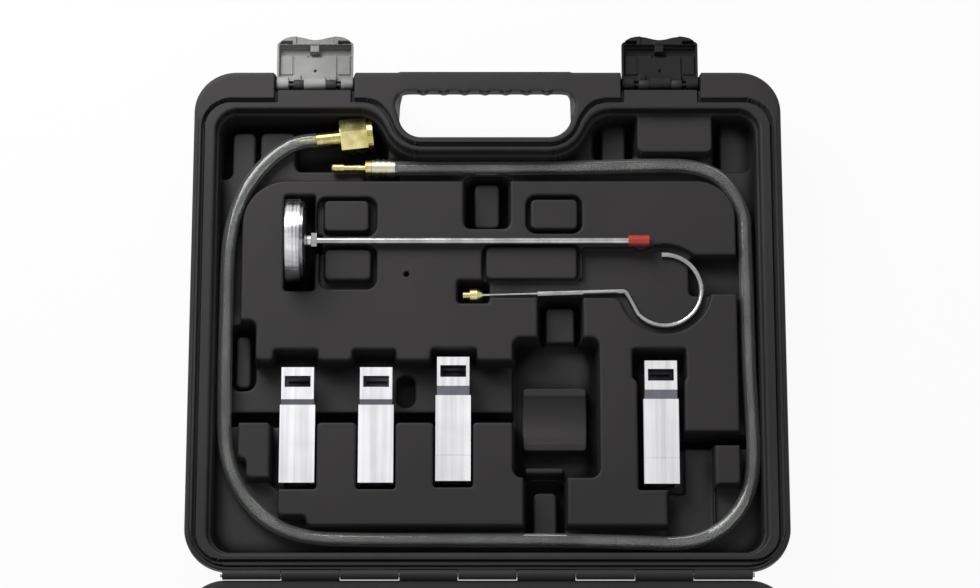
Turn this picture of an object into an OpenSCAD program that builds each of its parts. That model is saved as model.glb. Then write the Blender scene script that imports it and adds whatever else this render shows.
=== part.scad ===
// Radiator pressure tester kit: a black hinged carrying case that lies open on its back, with a
// hose on brass fittings, a dial thermometer, a ring probe and four hose pinch clamps in its tray.
// X runs to the right, Y from the hinge towards the carrying handle, Z up. Millimetres.

/* [Case] */
// Width of the case
case_w = 340; // [336:1:360]
// Depth of each half, from the hinge side to the handle side
case_d = 294; // [292:1:310]
// Height of each half
half_h = 44; // [42:0.5:56]
// Radius of the outer corners
corner_r = 24; // [16:1:34]
// How far the outer walls lean in from the rim to the face that a half lies on
draft_in = 7; // [2:0.5:8]
// Thickness of the moulded skin, inside and outside
skin = 2; // [1.2:0.1:2.6]
// Gap between the two halves where they lie open at the hinge
hinge_gap = 5.6; // [5.2:0.1:7]
// Gap between the two rims when the case is shut
rim_gap = 0.2; // [0.1:0.05:0.6]
// Width of the outer rim band at the sides
rim_side = 4.5; // [3:0.1:6]
// Width of the outer rim band on the handle side
rim_front = 16.3; // [14:0.1:18]
// Depth of the ledge below the rim, where the lid's tongue sits
ledge_drop = 1.5; // [1:0.1:3]
// Width from the outside of the case to the cavity, at the sides
wall_side = 12.5; // [10:0.1:13]
// Width from the hinge side of the case to the cavity
wall_back = 9.6; // [8:0.1:11]
// Width from the handle side of the case to the cavity
wall_front = 22.4; // [20:0.1:24]
// Clearance of the lid's tongue in the tray's ledge
tongue_clear = 0.35; // [0.2:0.05:0.6]
// Depth of the hollow in the lid
lid_hollow = 32; // [26:0.5:34]
// Depth of the panel sunk in the lid's outer face
lid_panel = 1; // [0.4:0.1:1.4]

/* [Handle] */
// Length of the handle slot
slot_w = 104; // [90:1:110]
// Width of the handle slot
slot_h = 28; // [22:0.5:30]
// Distance from the handle side of the case to the slot
slot_in = 11.5; // [9:0.5:14]
// Thickness of the handle bar of one half
handle_t = 14; // [10:0.5:20]
// Width of the smooth wall round the slot, as far as the cavity
slot_guard = 8.5; // [6:0.5:9]
// Width of one finger scallop along the slot
scallop_w = 12; // [9:0.5:16]
// Depth of a finger scallop
scallop_d = 1; // [0.5:0.1:2]

/* [Hinge and latches] */
// Diameter of the hinge pin
hinge_pin_d = 2.5; // [2:0.1:3]
// Length of the row of hinge knuckles
hinge_len = 296; // [200:2:300]
// Number of hinge knuckles, an odd number
hinge_n = 9; // [5:2:15]
// Clearance between neighbouring knuckles
knuckle_clear = 0.15; // [0.1:0.05:0.4]
// Clearance all round a pin in its bore
pin_fit = 0.07; // [0.03:0.01:0.1]
// Width of a latch
latch_w = 44.6; // [36:0.2:50]
// Length of a latch from its pin to its tip
latch_l = 30; // [28:0.5:34]
// Distance of the middle of a latch from the side of the case
latch_side = 69.4; // [60:0.2:80]
// Diameter of a latch pin
latch_pin_d = 2.4; // [2:0.1:3]
// Outer diameter of the latch knuckles
latch_knuckle_d = 6; // [5:0.1:7]
// Clearance round a latch in its notch
latch_clear = 0.8; // [0.5:0.1:1.2]

/* [Tray levels] */
// Depth of the raised field of the tray below the rim
field_drop = 8; // [6:0.5:10]
// Depth of the hose channel below the rim
channel_drop = 19; // [18:0.5:22]
// Depth of the clamps' slots and of the terrace before them below the rim
clamp_drop = 24; // [22:0.5:27]
// Depth of the moats round the raised pads
moat_depth = 6; // [4:0.5:8]
// Depth of the corner wells below the rim
well_drop = 32; // [28:0.5:36]
// Depth of the empty pocket below the rim
pocket_drop = 30; // [26:0.5:34]

/* [Hose] */
// Outer diameter of the hose
hose_od = 8.6; // [7:0.1:9]
// Bore of the hose
hose_id = 5.6; // [4:0.1:6.5]
// Clearance between a laid piece and what it rests on
rest_clear = 0.25; // [0.1:0.05:0.4]
// Size across the flats of the union nut
union_af = 18.5; // [16:0.5:18.5]
// Length of the union nut
union_l = 15.5; // [12:0.5:18]
// Diameter of the plain stem between the hose and the union nut
barb_stem_d = 8.8; // [6:0.1:9]
// Diameter of the crimped ferrule on the small fitting
ferrule_d = 10; // [9.4:0.1:10.5]
// Length of the crimped ferrule
ferrule_l = 13.5; // [10:0.5:16]
// Diameter of the small fitting's tip
nozzle_tip_d = 5.4; // [4.6:0.1:6]

/* [Thermometer] */
// Diameter of the dial head
dial_d = 48; // [40:0.5:50]
// Depth of the dial head
dial_depth = 11.5; // [8:0.5:12]
// Diameter of the stem
stem_d = 4; // [3:0.1:5]
// Length of the stem from the head to its tip
stem_l = 195; // [180:1:200]
// Diameter of the red tip cap
cap_d = 6.6; // [6:0.1:8]
// Length of the red tip cap
cap_l = 12; // [9:0.5:16]
// Size across the flats of the calibration nut
cal_af = 8; // [7:0.5:10]

/* [Ring probe] */
// Radius of the ring, to the middle of its rod
ring_r = 21.2; // [18:0.2:23]
// Diameter of the ring's rod and shank
ring_rod_d = 3.2; // [2.5:0.1:4]
// Diameter of the thin rod
thin_rod_d = 1.6; // [1.2:0.1:2.2]
// Diameter of the brass end's collar
nipple_d = 7.7; // [6:0.1:9]

/* [Clamps] */
// Width of a clamp
clamp_w = 20; // [16:0.2:20.4]
// Height of a closed clamp's body
clamp_h = 15.5; // [12:0.5:16]
// Thickness of the clamp's sheet metal
clamp_t = 1.5; // [1:0.1:2]
// Height of the clamp's head above its body
head_rise = 2.6; // [1:0.1:4]
// Diameter of the clamp's pivot rivet
rivet_d = 4; // [3:0.1:5]

/* [Hidden] */
$fn = 48;
eps = 0.01;

// Heights of the tray's floors
field_z = half_h - field_drop;
channel_z = half_h - channel_drop;
clamp_z = half_h - clamp_drop;
moat_z = field_z - moat_depth;
well_z = half_h - well_drop;
pocket_z = half_h - pocket_drop;
mid_z = (channel_z + clamp_z) / 2;

// Hinge line, and the middle of the open case with its latches out
hinge_y = -hinge_gap / 2;
hinge_z = half_h + rim_gap / 2;
knuckle_d = hinge_gap - 0.6;
latch_x = case_w / 2 - latch_side;
latch_axis_y = case_d - 6;
latch_axis_z = half_h - 7;
mid_y = (latch_axis_y + latch_l - hinge_gap - case_d) / 2;

// Centre of the handle slot
slot_y = case_d - slot_in - slot_h / 2;
slot_x = -1.4;

// Field of the tray: its edges and the arcs at its corners
field_x0 = -141.3;
field_x1 = 143;
field_y0 = 27.2;
field_y1 = 230;

// Thermometer line, its head and its cap
stem_y = 192.7;
head_x = -115.6;
stem_z = field_z + cap_d / 2 + rest_clear;
cal_t = 3.2;
neck_l = 2.6;

// Ring probe: centre of the ring, tilt of the shank and height of its rod
ring_x = 101.7;
ring_y = 165.2;
probe_tilt = 1.7;
probe_floor = field_z - 5;
probe_z = probe_floor + ring_rod_d / 2 + rest_clear;

// Hose: height of its middle, and the two fittings
hose_z = channel_z + hose_od / 2 + rest_clear;
union_x = -99.6;
union_y = 256.5;
union_tilt = 6.4;
nozzle_x = -67.2;
nozzle_y = 239.5;
barb_l = 10;

// Route of the hose round the tray, from the union to the small fitting
hose_points = [
    [-99.6, 256.5], [-107.6, 255.6], [-116.4, 252.4], [-126, 245.2], [-134, 236], [-141, 224.5],
    [-146, 211.5], [-149, 196], [-150, 178], [-150.2, 145], [-150.2, 110], [-149.6, 84],
    [-147.4, 67], [-142.4, 53], [-134.6, 41], [-124, 31], [-110.6, 24], [-95, 20.8],
    [-70, 19.8], [-20, 19.6], [40, 19.4], [85, 18.2], [104, 17.6], [120, 20],
    [133, 27], [143, 38], [149, 52], [151, 68], [150.8, 88], [149.6, 120],
    [149.2, 160], [148.6, 198], [147.8, 211.5], [141.6, 225.6], [132, 235.4], [118, 240.2],
    [100, 241.2], [50, 239.9], [-30, 239.5], [-67.2, 239.5]
];
hose_sides = 10;
hose_steps = 2;

// Clamps: left, long ones with a seam, middle of the width and the end nearest the hinge
clamp_mid_x = [-107.9, -63.3, -19.5, 98.6];
clamp_end_y = [51.6, 51.6, 52.6, 51.0];
clamp_long = [66.5, 66.5, 71.6, 71.0];
clamp_head = [18.6, 18.6, 16.8, 16.8];
clamp_band = [2.6, 2.6, 4.9, 4.9];
// Window in the head: where it starts before the end, and its length, as parts of the head
clamp_window = [[0.62, 0.35], [0.62, 0.35], [0.7, 0.41], [0.7, 0.41]];
slot_side_clear = [1.1, 1.1, 1.1, 3.4];
slot_end_clear = 3.4;
head_w = clamp_w - 1.6;
fold_h = clamp_h * 0.55;

tray_colour = [0.17, 0.16, 0.17];
brass_colour = [0.80, 0.68, 0.30];
steel_colour = [0.80, 0.81, 0.83];
clear_colour = [0.62, 0.64, 0.62];

clamp_nodes = [for (i = [1:4]) each [
    str("clamp_", i, "_upper_jaw"), str("clamp_", i, "_lower_jaw"), str("clamp_", i, "_rivet")
]];

// ---- plane shapes -------------------------------------------------------------------------

// Points of an arc round [x, y], from angle a0 to a1
function arc(x, y, r, a0, a1, n = 4) =
    [for (k = [0:n]) let (a = a0 + (a1 - a0) * k / n) [x + r * cos(a), y + r * sin(a)]];

// Rectangle between two corners with rounded corners
module rrect(x0, y0, x1, y1, r, n = 4) {
    polygon(concat(arc(x1 - r, y0 + r, r, -90, 0, n), arc(x1 - r, y1 - r, r, 0, 90, n),
                   arc(x0 + r, y1 - r, r, 90, 180, n), arc(x0 + r, y0 + r, r, 180, 270, n)));
}

module outer_2d(inset = 0) {
    rrect(-case_w / 2 + inset, inset, case_w / 2 - inset, case_d - inset,
          corner_r - inset / 2, 8);
}

// Solid of a half lying on its back, drawn in by g, its back also lifted by sunk
module half_solid(g = 0, sunk = 0) {
    upright = half_h * 0.18;
    hull() {
        translate([0, 0, g + sunk]) linear_extrude(eps) outer_2d(draft_in + g);
        translate([0, 0, half_h - upright]) linear_extrude(upright - g) outer_2d(g);
    }
}

// Arcs of the handle slot grown by g: its low right side, up to angle a1 at the top corner
slot_top_r = 8.5;
slot_low_r = 13;
slot_side_a = -15.7;
function slot_side(g, a1) = concat(
    arc(slot_w / 2 - slot_low_r - 2, slot_low_r - slot_h / 2, slot_low_r + g, -90, slot_side_a, 6),
    arc(slot_w / 2 - slot_top_r, slot_h / 2 - slot_top_r, slot_top_r + g, slot_side_a, a1, 6));

function mirrored(points) = [for (k = [len(points) - 1:-1:0]) [-points[k][0], points[k][1]]];

// Handle slot grown by g, with its finger scallops where it isn't grown
module slot_2d(g = 0) {
    side = slot_side(g, 90);
    translate([slot_x, slot_y]) difference() {
        polygon(concat(side, mirrored(side)));
        if (g == 0)
            for (i = [-3:3]) translate([i * scallop_w, slot_h / 2 + scallop_d])
                circle(scallop_d * 2, $fn = 24);
    }
}

// Slot with its guard wall, run out past the handle side
module guard_2d(g) {
    side = concat(slot_side(g, 0), [[slot_w / 2 + g, case_d]]);
    translate([slot_x, slot_y]) polygon(concat(side, mirrored(side)));
}

// Cavity of either half, between the walls and round the handle
module cavity_2d(inset = 0) {
    r_out = 10;
    r_in = 14;
    offset(r = r_out, $fn = 32) offset(r = -r_out - r_in, $fn = 32)
        offset(r = r_in, $fn = 32) difference() {
            translate([-case_w / 2 + wall_side + inset, wall_back + inset])
                square([case_w - 2 * (wall_side + inset),
                        case_d - wall_back - wall_front - 2 * inset]);
            guard_2d(slot_guard + inset);
        }
}

// Ledge inside the outer rim band, round the handle and open at the latches
module ledge_2d(inset = 0) {
    r = 15;
    offset(r = r, $fn = 32) offset(r = -r, $fn = 32) difference() {
        translate([-case_w / 2 + rim_side + inset, rim_side + inset])
            square([case_w - 2 * (rim_side + inset), case_d - rim_side - rim_front - 2 * inset]);
        guard_2d(slot_guard * 0.45 + inset);
    }
}

// Notches in the rim at the two latches, from the ledge to the handle side
module latch_notch_2d(y0) {
    for (s = [-1, 1])
        translate([s * latch_x - latch_w / 2 - latch_clear, y0])
            square([latch_w + 2 * latch_clear, case_d - y0 + 5]);
}

// Raised field of the tray, one island and the block in the far right corner
module field_2d() {
    polygon(concat(arc(field_x1 - 3, field_y0 + 3, 3, -90, 0, 3),
                   arc(field_x1 - 22, field_y1 - 22, 22, 0, 90, 7),
                   arc(field_x0 + 26, field_y1 - 26, 26, 90, 180, 8),
                   arc(field_x0 + 3, field_y0 + 3, 3, 180, 270, 3)));
    rrect(86.7, 247.4, 130.6, 285, 4);
}

// Frame of a moat round a pad
module moat_2d(x0, y0, x1, y1, gap_x, gap_top, gap_low) {
    difference() {
        rrect(x0, y0, x1, y1, 6);
        rrect(x0 + gap_x, y0 + gap_low, x1 - gap_x, y1 - gap_top, 3);
    }
}

// Slots of the clamps, each a little wider than its clamp
module clamp_slots_2d() {
    for (i = [0:3])
        translate([clamp_mid_x[i] - clamp_w / 2 - slot_side_clear[i],
                   clamp_end_y[i] - slot_end_clear])
            square([clamp_w + 2 * slot_side_clear[i], clamp_long[i] + slot_end_clear + 3]);
}

// One floor of the tray: everything that is cut down to that floor
module floor_2d(i) {
    if (i == 0) {
        ledge_2d();
        latch_notch_2d(case_d - rim_front - 4);
    }
    if (i == 1) cavity_2d();
    if (i == 2) {
        difference() {
            cavity_2d();
            field_2d();
        }
        rrect(field_x0 - 6, field_y0 - 6, -118, 54.6, 3);
        rrect(128.5, field_y0 - 6, field_x1 + 6, 51, 3);
        rrect(field_x0 - 6, 40, -136.5, 66, 3);
        rrect(-124, field_y0 - 6, -102, 33, 3);
    }
    if (i == 3) {
        moat_2d(-98.8, 196.6, -63.9, 220.1, 4.6, 2, 3);
        moat_2d(-97, 165, -63.6, 191.2, 3.4, 2.4, 5.6);
        moat_2d(22.2, 198.4, 54.6, 221.3, 2.7, 2.4, 2.6);
    }
    if (i == 4) {
        translate([ring_x, ring_y]) circle(ring_r + 5.4);
        rrect(-3, 160.2, 86, 171, 2);
        rrect(54, 161, 86, 190.4, 3);
        moat_2d(-3.2, 167.3, 53.8, 192.4, 2.4, 2.2, 3.6);
    }
    if (i == 5) {
        rrect(-17.5, 156.8, 1, 170.4, 2);
        rrect(-13.6, 201.4, 13, field_y1 + 6, 3);
        rrect(28.8, 134, 54.7, 162, 2);
        rrect(20.5, field_y0 - 6, 44.9, 58, 3);
        rrect(116, 162.4, field_x1 + 6, 185.2, 3);
        rrect(104, field_y0 - 6, 128.9, 74.5, 2);
        rrect(101.6, field_y0 - 6, 110, 47, 2);
        rrect(61, 245, 86, 280, 4);
        rrect(131, 238.5, 153, 280, 4);
        rrect(nozzle_x - 5, nozzle_y - 7, nozzle_x + ferrule_l + 2, nozzle_y + 7, 2);
    }
    if (i == 6) {
        clamp_slots_2d();
        rrect(-123.4, 51.4, -100, 96, 2);
        rrect(-148, 86.8, 16, 122.9, 1);
        rrect(-148, 108.3, -132.4, 146.5, 4);
        rrect(-122.2, 110, -96.7, 129.4, 2);
        rrect(-77.2, 110, -52.2, 129.4, 2);
        rrect(-32.2, 110, -6, 130, 2);
        rrect(82.6, 112, 113.3, 130, 2);
    }
    if (i == 7) {
        rrect(-112, 239, -58, 280, 4);
        rrect(-160, 262.8, -80, 280, 4);
        rrect(-160, 234.5, -148.6, 280, 4);
        rrect(-135.4, 240, -132.4, 270, 1);
        moat_2d(61.6, 245.6, 85.4, 279, 5, 10, -8);
        moat_2d(131.6, 235, 160, 279, 4, 9, -6);
        moat_2d(-13, 202, 12.4, field_y1 + 5, 5.4, 3, 3);
        moat_2d(29.4, 134.6, 54.1, 161.4, 4, 4, -6);
        moat_2d(21.1, field_y0 - 5, 44.3, 57.4, 5, 9, -6);
        moat_2d(-147.4, 108.9, -133, 145.9, 3, 5, 1.6);
        rrect(110.4, 73.6, field_x1 + 5, 81.2, 1);
        rrect(-147, 87.4, 15, 95.5, 1);
        rrect(-52.2, 99, -41.5, 117.8, 5);
    }
    if (i == 8) {
        rrect(14.4, 54.8, 63.7, 136.5, 5);
        translate([head_x - 1.6, stem_y - dial_d / 2 - 4.6])
            square([dial_depth + 6.4, dial_d + 9.2]);
        translate([head_x + dial_depth + neck_l, stem_y - cal_af / 2 - 2])
            square([cal_t + 3, cal_af + 4]);
    }
}

floors = [half_h - ledge_drop, field_z, channel_z, moat_z, probe_floor, mid_z, clamp_z, well_z,
          pocket_z];

// All the hollows of the tray, as prisms grown by g and let down by g
module tray_hollows(g) {
    for (i = [0:len(floors) - 1])
        translate([0, 0, floors[i] - g]) linear_extrude(half_h)
            offset(delta = g) intersection() {
                floor_2d(i);
                if (i == 0) outer_2d(-5);
                else cavity_2d(0.05 * i);
            }
    translate([0, 0, latch_axis_z - latch_knuckle_d - 0.4 - g]) linear_extrude(half_h)
        offset(delta = g) latch_notch_2d(latch_axis_y - 4.6);
    translate([0, 0, -1]) linear_extrude(half_h * 2) slot_2d(g);
}

// Room under the handle bar, from the slot out past the handle side, grown by g
module handle_room(g) {
    bar_y = slot_y + slot_h / 2;
    bar_z = half_h - handle_t;
    translate([slot_x - slot_w / 2 + 2 - g, 0, 0]) rotate([90, 0, 90])
        linear_extrude(slot_w - 4 + 2 * g) offset(delta = g) polygon([
            [slot_y, -5], [case_d + 5, -5], [case_d + 5, bar_z + 9], [case_d - 4, bar_z],
            [bar_y + 4, bar_z], [bar_y - 1.2, bar_z + 7], [slot_y, bar_z + 7]]);
}

// ---- the case -----------------------------------------------------------------------------

module place() {
    translate([0, -mid_y, 0]) children();
}

// Hinge knuckle i, with the web that joins it to its half on side s
module knuckle(i, s) {
    len_1 = hinge_len / hinge_n;
    x0 = -hinge_len / 2 + i * len_1 + knuckle_clear;
    difference() {
        union() {
            translate([x0, hinge_y, hinge_z]) rotate([0, 90, 0])
                cylinder(d = knuckle_d, h = len_1 - 2 * knuckle_clear);
            translate([x0, hinge_y + min(0, s * (hinge_gap / 2 + eps)), hinge_z - knuckle_d / 2])
                cube([len_1 - 2 * knuckle_clear, hinge_gap / 2 + eps, knuckle_d / 2 - 0.35]);
        }
        translate([x0 - 1, hinge_y, hinge_z]) rotate([0, 90, 0])
            cylinder(d = hinge_pin_d + 2 * pin_fit, h = len_1 + 2);
    }
}

// Two lugs that carry the pin of the latch at x
module latch_lugs(x) {
    for (s = [-1, 1]) difference() {
        union() {
            translate([x + s * 9.5 - 3, latch_axis_y, latch_axis_z]) rotate([0, 90, 0])
                cylinder(d = latch_knuckle_d, h = 6);
            translate([x + s * 9.5 - 3, latch_axis_y - latch_knuckle_d / 2,
                       latch_axis_z - latch_knuckle_d - 1])
                cube([6, latch_knuckle_d, latch_knuckle_d + 1]);
        }
        translate([x + s * 9.5 - 4, latch_axis_y, latch_axis_z]) rotate([0, 90, 0])
            cylinder(d = latch_pin_d + 2 * pin_fit, h = 8);
    }
}

module case_tray() color(tray_colour) place() {
    difference() {
        half_solid();
        tray_hollows(0);
        handle_room(0);
        difference() {
            half_solid(skin);
            tray_hollows(skin);
            handle_room(skin);
        }
        translate([-46.5, 174, field_z - skin - 1]) cylinder(d = 3, h = 10);
    }
    // Cradle and lip in the empty pocket
    difference() {
        translate([19.8, 72, pocket_z - 0.5]) cube([37.4, 38, 10]);
        translate([10, 91, pocket_z + 29]) rotate([0, 90, 0]) cylinder(r = 24, h = 60);
    }
    translate([20.8, 58.4, pocket_z - 0.5]) cube([23, 4.6, 12]);
    for (i = [0:2:hinge_n - 1]) knuckle(i, 1);
    for (s = [-1, 1]) latch_lugs(s * latch_x);
}

// The lid as it sits when shut, its rim down on the tray's
module lid_shut() {
    z0 = half_h + rim_gap;
    top = z0 + half_h;
    notch_top = latch_axis_z + latch_l + latch_clear + 0.6;
    difference() {
        union() {
            translate([0, 0, top]) mirror([0, 0, 1]) half_solid();
            translate([0, 0, half_h - ledge_drop + tongue_clear]) linear_extrude(4) difference() {
                ledge_2d(tongue_clear);
                latch_notch_2d(case_d - rim_front - 5);
            }
        }
        translate([0, 0, z0 - 5]) linear_extrude(lid_hollow + 5) cavity_2d();
        translate([0, 0, z0 - 5]) linear_extrude(notch_top - z0 + 5)
            latch_notch_2d(latch_axis_y - 5.2);
        translate([0, 0, -1]) linear_extrude(half_h * 3) slot_2d();
        translate([0, 0, top]) mirror([0, 0, 1]) handle_room(0);
        translate([0, 0, top - lid_panel]) linear_extrude(5) difference() {
            rrect(-case_w / 2 + 22, 22, case_w / 2 - 22, case_d - 22, 16);
            guard_2d(slot_guard + 4);
        }
        difference() {
            translate([0, 0, top]) mirror([0, 0, 1]) half_solid(skin, lid_panel);
            translate([0, 0, z0 - 5]) linear_extrude(lid_hollow + 5 + skin)
                offset(delta = skin) cavity_2d();
            translate([0, 0, z0 - 5]) linear_extrude(notch_top - z0 + 5 + skin)
                offset(delta = skin) latch_notch_2d(latch_axis_y - 5.2);
            translate([0, 0, -1]) linear_extrude(half_h * 3) slot_2d(skin);
            translate([0, 0, top]) mirror([0, 0, 1]) handle_room(skin);
        }
        translate([0, 150, z0 + lid_hollow - 1]) cylinder(d = 3, h = skin + 3);
    }
    // Catches that the latches hook over
    for (s = [-1, 1]) for (t = [-1, 1])
        translate([s * latch_x + t * 9.5 - 7, latch_axis_y - 5.4, latch_axis_z + latch_l - 15])
            cube([14, 4.1, 7]);
}

module case_lid() color(tray_colour) place() {
    translate([0, hinge_y, hinge_z]) rotate([180, 0, 0]) translate([0, -hinge_y, -hinge_z])
        lid_shut();
    for (i = [1:2:hinge_n - 2]) knuckle(i, -1);
}

module hinge_pin() color(steel_colour) place() {
    translate([-hinge_len / 2 - 1, hinge_y, hinge_z]) rotate([0, 90, 0])
        cylinder(d = hinge_pin_d, h = hinge_len + 2);
}

// A latch lying open: outer skin below, side walls, ribs and the two hooked lobes of its tip
module latch(x, c) color(c) place() translate([x, latch_axis_y, latch_axis_z]) {
    bore = latch_pin_d + 2 * pin_fit;
    difference() {
        union() {
            // tray-shaped plate
            translate([-latch_w / 2, 3.6, -5]) cube([latch_w, latch_l - 3.6, 2.4]);
            translate([-latch_w / 2, 3.6, -5]) cube([1.8, latch_l - 3.6, 6]);
            translate([latch_w / 2 - 1.8, 3.6, -5]) cube([1.8, latch_l - 3.6, 6]);
            translate([-latch_w / 2, latch_l - 2, -5]) cube([latch_w, 2, 6]);
            translate([-latch_w / 2, 3.6, -5]) cube([latch_w, 2, 6]);
            // ribs beside the middle panel
            for (s = [-1, 1]) translate([s * 9 - 0.8, 5, -3]) cube([1.6, latch_l - 8, 3.4]);
            // hooked lobes
            for (s = [-1, 1]) translate([s * 9.5 - 6.5, latch_l - 7.6, -3]) cube([13, 3, 7]);
            // knuckles
            for (k = [[-latch_w / 2, -13], [-6, 6], [13, latch_w / 2]]) {
                translate([k[0], 0, 0]) rotate([0, 90, 0])
                    cylinder(d = latch_knuckle_d, h = k[1] - k[0]);
                translate([k[0], 0, -latch_knuckle_d / 2]) cube([k[1] - k[0], 4, 4]);
            }
        }
        translate([-latch_w / 2 - 1, 0, 0]) rotate([0, 90, 0]) cylinder(d = bore, h = latch_w + 2);
    }
}

module latch_left() latch(-latch_x, [0.62, 0.62, 0.62]);
module latch_right() latch(latch_x, [0.27, 0.26, 0.27]);

module latch_pin(x) color(steel_colour) place() {
    translate([x - latch_w / 2 + 1, latch_axis_y, latch_axis_z]) rotate([0, 90, 0])
        cylinder(d = latch_pin_d, h = latch_w - 2);
}

module latch_pin_left() latch_pin(-latch_x);
module latch_pin_right() latch_pin(latch_x);

// ---- the hose -----------------------------------------------------------------------------

// Point on the smooth curve through the route's points, s steps of n after point i
function route_at(p, i, t) =
    let (a = p[max(i - 1, 0)], b = p[i], c = p[min(i + 1, len(p) - 1)], d = p[min(i + 2, len(p) - 1)])
    0.5 * ((2 * b) + (c - a) * t + (2 * a - 5 * b + 4 * c - d) * t * t
        + (3 * b - a - 3 * c + d) * t * t * t);

hose_line = [for (i = [0:len(hose_points) - 2]) for (k = [0:hose_steps - 1])
    route_at(hose_points, i, k / hose_steps), hose_points[len(hose_points) - 1]];

function unit(v) = v / norm(v);
union_dir = [cos(union_tilt), sin(union_tilt)];

// Direction of the route at ring i, square to the fittings at its two ends
function run(i) = i == 0 ? -union_dir
    : i == len(hose_line) - 1 ? [-1, 0]
    : unit(hose_line[i + 1] - hose_line[i - 1]);

// Corners of a tube's section at a point of its line, square to the direction t
function section(at, t, r, n, z) = let (side = [-t[1], t[0]])
    [for (k = [0:n - 1]) let (a = -360 * k / n)
        [at[0] + side[0] * r * cos(a), at[1] + side[1] * r * cos(a), z + r * sin(a)]];

function ring(i, r, n) = section(hose_line[i], run(i), r, n, hose_z);

// Tube wall between two radii along the whole route
module hose_tube(r_out, r_in, n) {
    m = len(hose_line);
    points = [for (i = [0:m - 1]) each ring(i, r_out, n), for (i = [0:m - 1]) each ring(i, r_in, n)];
    faces = concat(
        [for (i = [0:m - 2]) for (k = [0:n - 1]) let (a = i * n + k, b = i * n + (k + 1) % n)
            each [[a, b, b + n], [a, b + n, a + n]]],
        [for (i = [0:m - 2]) for (k = [0:n - 1])
            let (a = (m + i) * n + k, b = (m + i) * n + (k + 1) % n)
            each [[a, b + n, b], [a, a + n, b + n]]],
        [for (k = [0:n - 1]) let (b = (k + 1) % n, q = m * n) each [[k, q + k, q + b], [k, q + b, b]]],
        [for (k = [0:n - 1]) let (b = (k + 1) % n, e = (m - 1) * n, q = (2 * m - 1) * n)
            each [[e + k, e + b, q + b], [e + k, q + b, q + k]]]
    );
    polyhedron(points, faces, convexity = 20);
}

module hose() color(clear_colour) place() hose_tube(hose_od / 2, hose_id / 2, hose_sides);

// Frame of the union end of the hose, X out of the hose
module at_union() {
    place() translate([union_x, union_y, hose_z]) rotate([0, 0, union_tilt]) children();
}

module along_x(x0) {
    translate([x0, 0, 0]) rotate([0, 90, 0]) children();
}

// Ribbed tail inside the hose, plain stem, and the flange that the union nut holds
module union_barb() color(brass_colour) at_union() difference() {
    tail_d = hose_id - 1.2;
    union() {
        along_x(-barb_l) cylinder(d = tail_d, h = barb_l + 1);
        for (k = [0:1]) along_x(-barb_l + 1 + k * 4)
            cylinder(d1 = tail_d, d2 = hose_id - 0.5, h = 3);
        along_x(0.1) cylinder(d = barb_stem_d, h = 14.6);
        along_x(14.6) cylinder(d = union_af - 6, h = 2);
    }
    along_x(-barb_l - 1) cylinder(d = hose_id - 2.6, h = barb_l + 20);
}

union_bore_d = union_af - 4.4;

// Hexagon nut with a round mouth and two bayonet lugs
module union_nut() color(brass_colour) at_union() difference() {
    union() {
        along_x(14.2) cylinder(d = union_af / cos(30), h = union_l, $fn = 6);
        along_x(14) cylinder(d = union_af - 1.4, h = union_l + 3.4);
        for (a = [35, 215]) rotate([a, 0, 0])
            translate([14.2 + union_l, -2.2, 0]) cube([3.2, 4.4, union_af / 2 + 0.3]);
    }
    along_x(13) cylinder(d = barb_stem_d + 0.8, h = 10);
    along_x(14.3) cylinder(d = union_af - 5.2, h = 5);
    along_x(18.5) cylinder(d = union_bore_d, h = union_l + 6);
}

module union_washer() color([0.10, 0.10, 0.10]) at_union() difference() {
    along_x(16.7) cylinder(d = union_af - 6.2, h = 1.6);
    along_x(16) cylinder(d = hose_id - 2, h = 4);
}

// Frame of the small fitting, X out of the hose, towards the left of the case
module at_nozzle() {
    place() translate([nozzle_x, nozzle_y, hose_z]) rotate([0, 0, 180]) children();
}

module nozzle() color(brass_colour) at_nozzle() difference() {
    tail_d = hose_id - 1.2;
    union() {
        along_x(-12) cylinder(d = tail_d, h = 14);
        for (k = [0:1]) along_x(-11 + k * 4) cylinder(d1 = tail_d, d2 = hose_id - 0.5, h = 3);
        along_x(0.2) cylinder(d = nozzle_tip_d + 4.2, h = 3.4);
        along_x(3) cylinder(d = nozzle_tip_d - 1.2, h = 14);
        along_x(16.2) cylinder(d = nozzle_tip_d, h = 6.2);
        along_x(22.4) cylinder(d1 = nozzle_tip_d, d2 = nozzle_tip_d - 1, h = 0.8);
    }
    along_x(-13) cylinder(d = 2.2, h = 50);
}

// Crimped sleeve round the end of the hose
module crimp_ferrule() color(brass_colour) at_nozzle() difference() {
    union() {
        along_x(-ferrule_l) cylinder(d = ferrule_d, h = ferrule_l);
        for (k = [0:2]) along_x(-ferrule_l + 2.6 + k * 3.4) cylinder(d = ferrule_d + 0.6, h = 1.6);
    }
    along_x(-ferrule_l - 1) cylinder(d = hose_od + 0.1, h = ferrule_l + 2);
}

// ---- the thermometer ----------------------------------------------------------------------

// Frame of the thermometer: X along the stem from the front of the dial
module at_dial() {
    place() translate([head_x, stem_y, stem_z]) children();
}

bezel_lip = 1.6;
can_t = 0.8;
face_x = 3.4;
coil_l = 34;
coil_x = dial_depth + stem_l - coil_l - 2.4;

// Cup behind the dial, with the neck that takes the stem
module dial_case() color(steel_colour) at_dial() difference() {
    union() {
        along_x(2.6) cylinder(d = dial_d - 2.4, h = dial_depth - 3.8);
        along_x(dial_depth - 1.3) cylinder(d1 = dial_d - 2.4, d2 = dial_d - 8, h = 1.3);
        along_x(dial_depth - 0.1) cylinder(d = stem_d + 3, h = neck_l + 0.1);
    }
    along_x(1) cylinder(d = dial_d - 2.4 - 2 * can_t, h = dial_depth - 1 - 2);
    along_x(1) cylinder(d = stem_d - 2, h = dial_depth + neck_l);
    along_x(dial_depth + 0.4) cylinder(d = stem_d, h = neck_l + 1);
}

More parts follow.
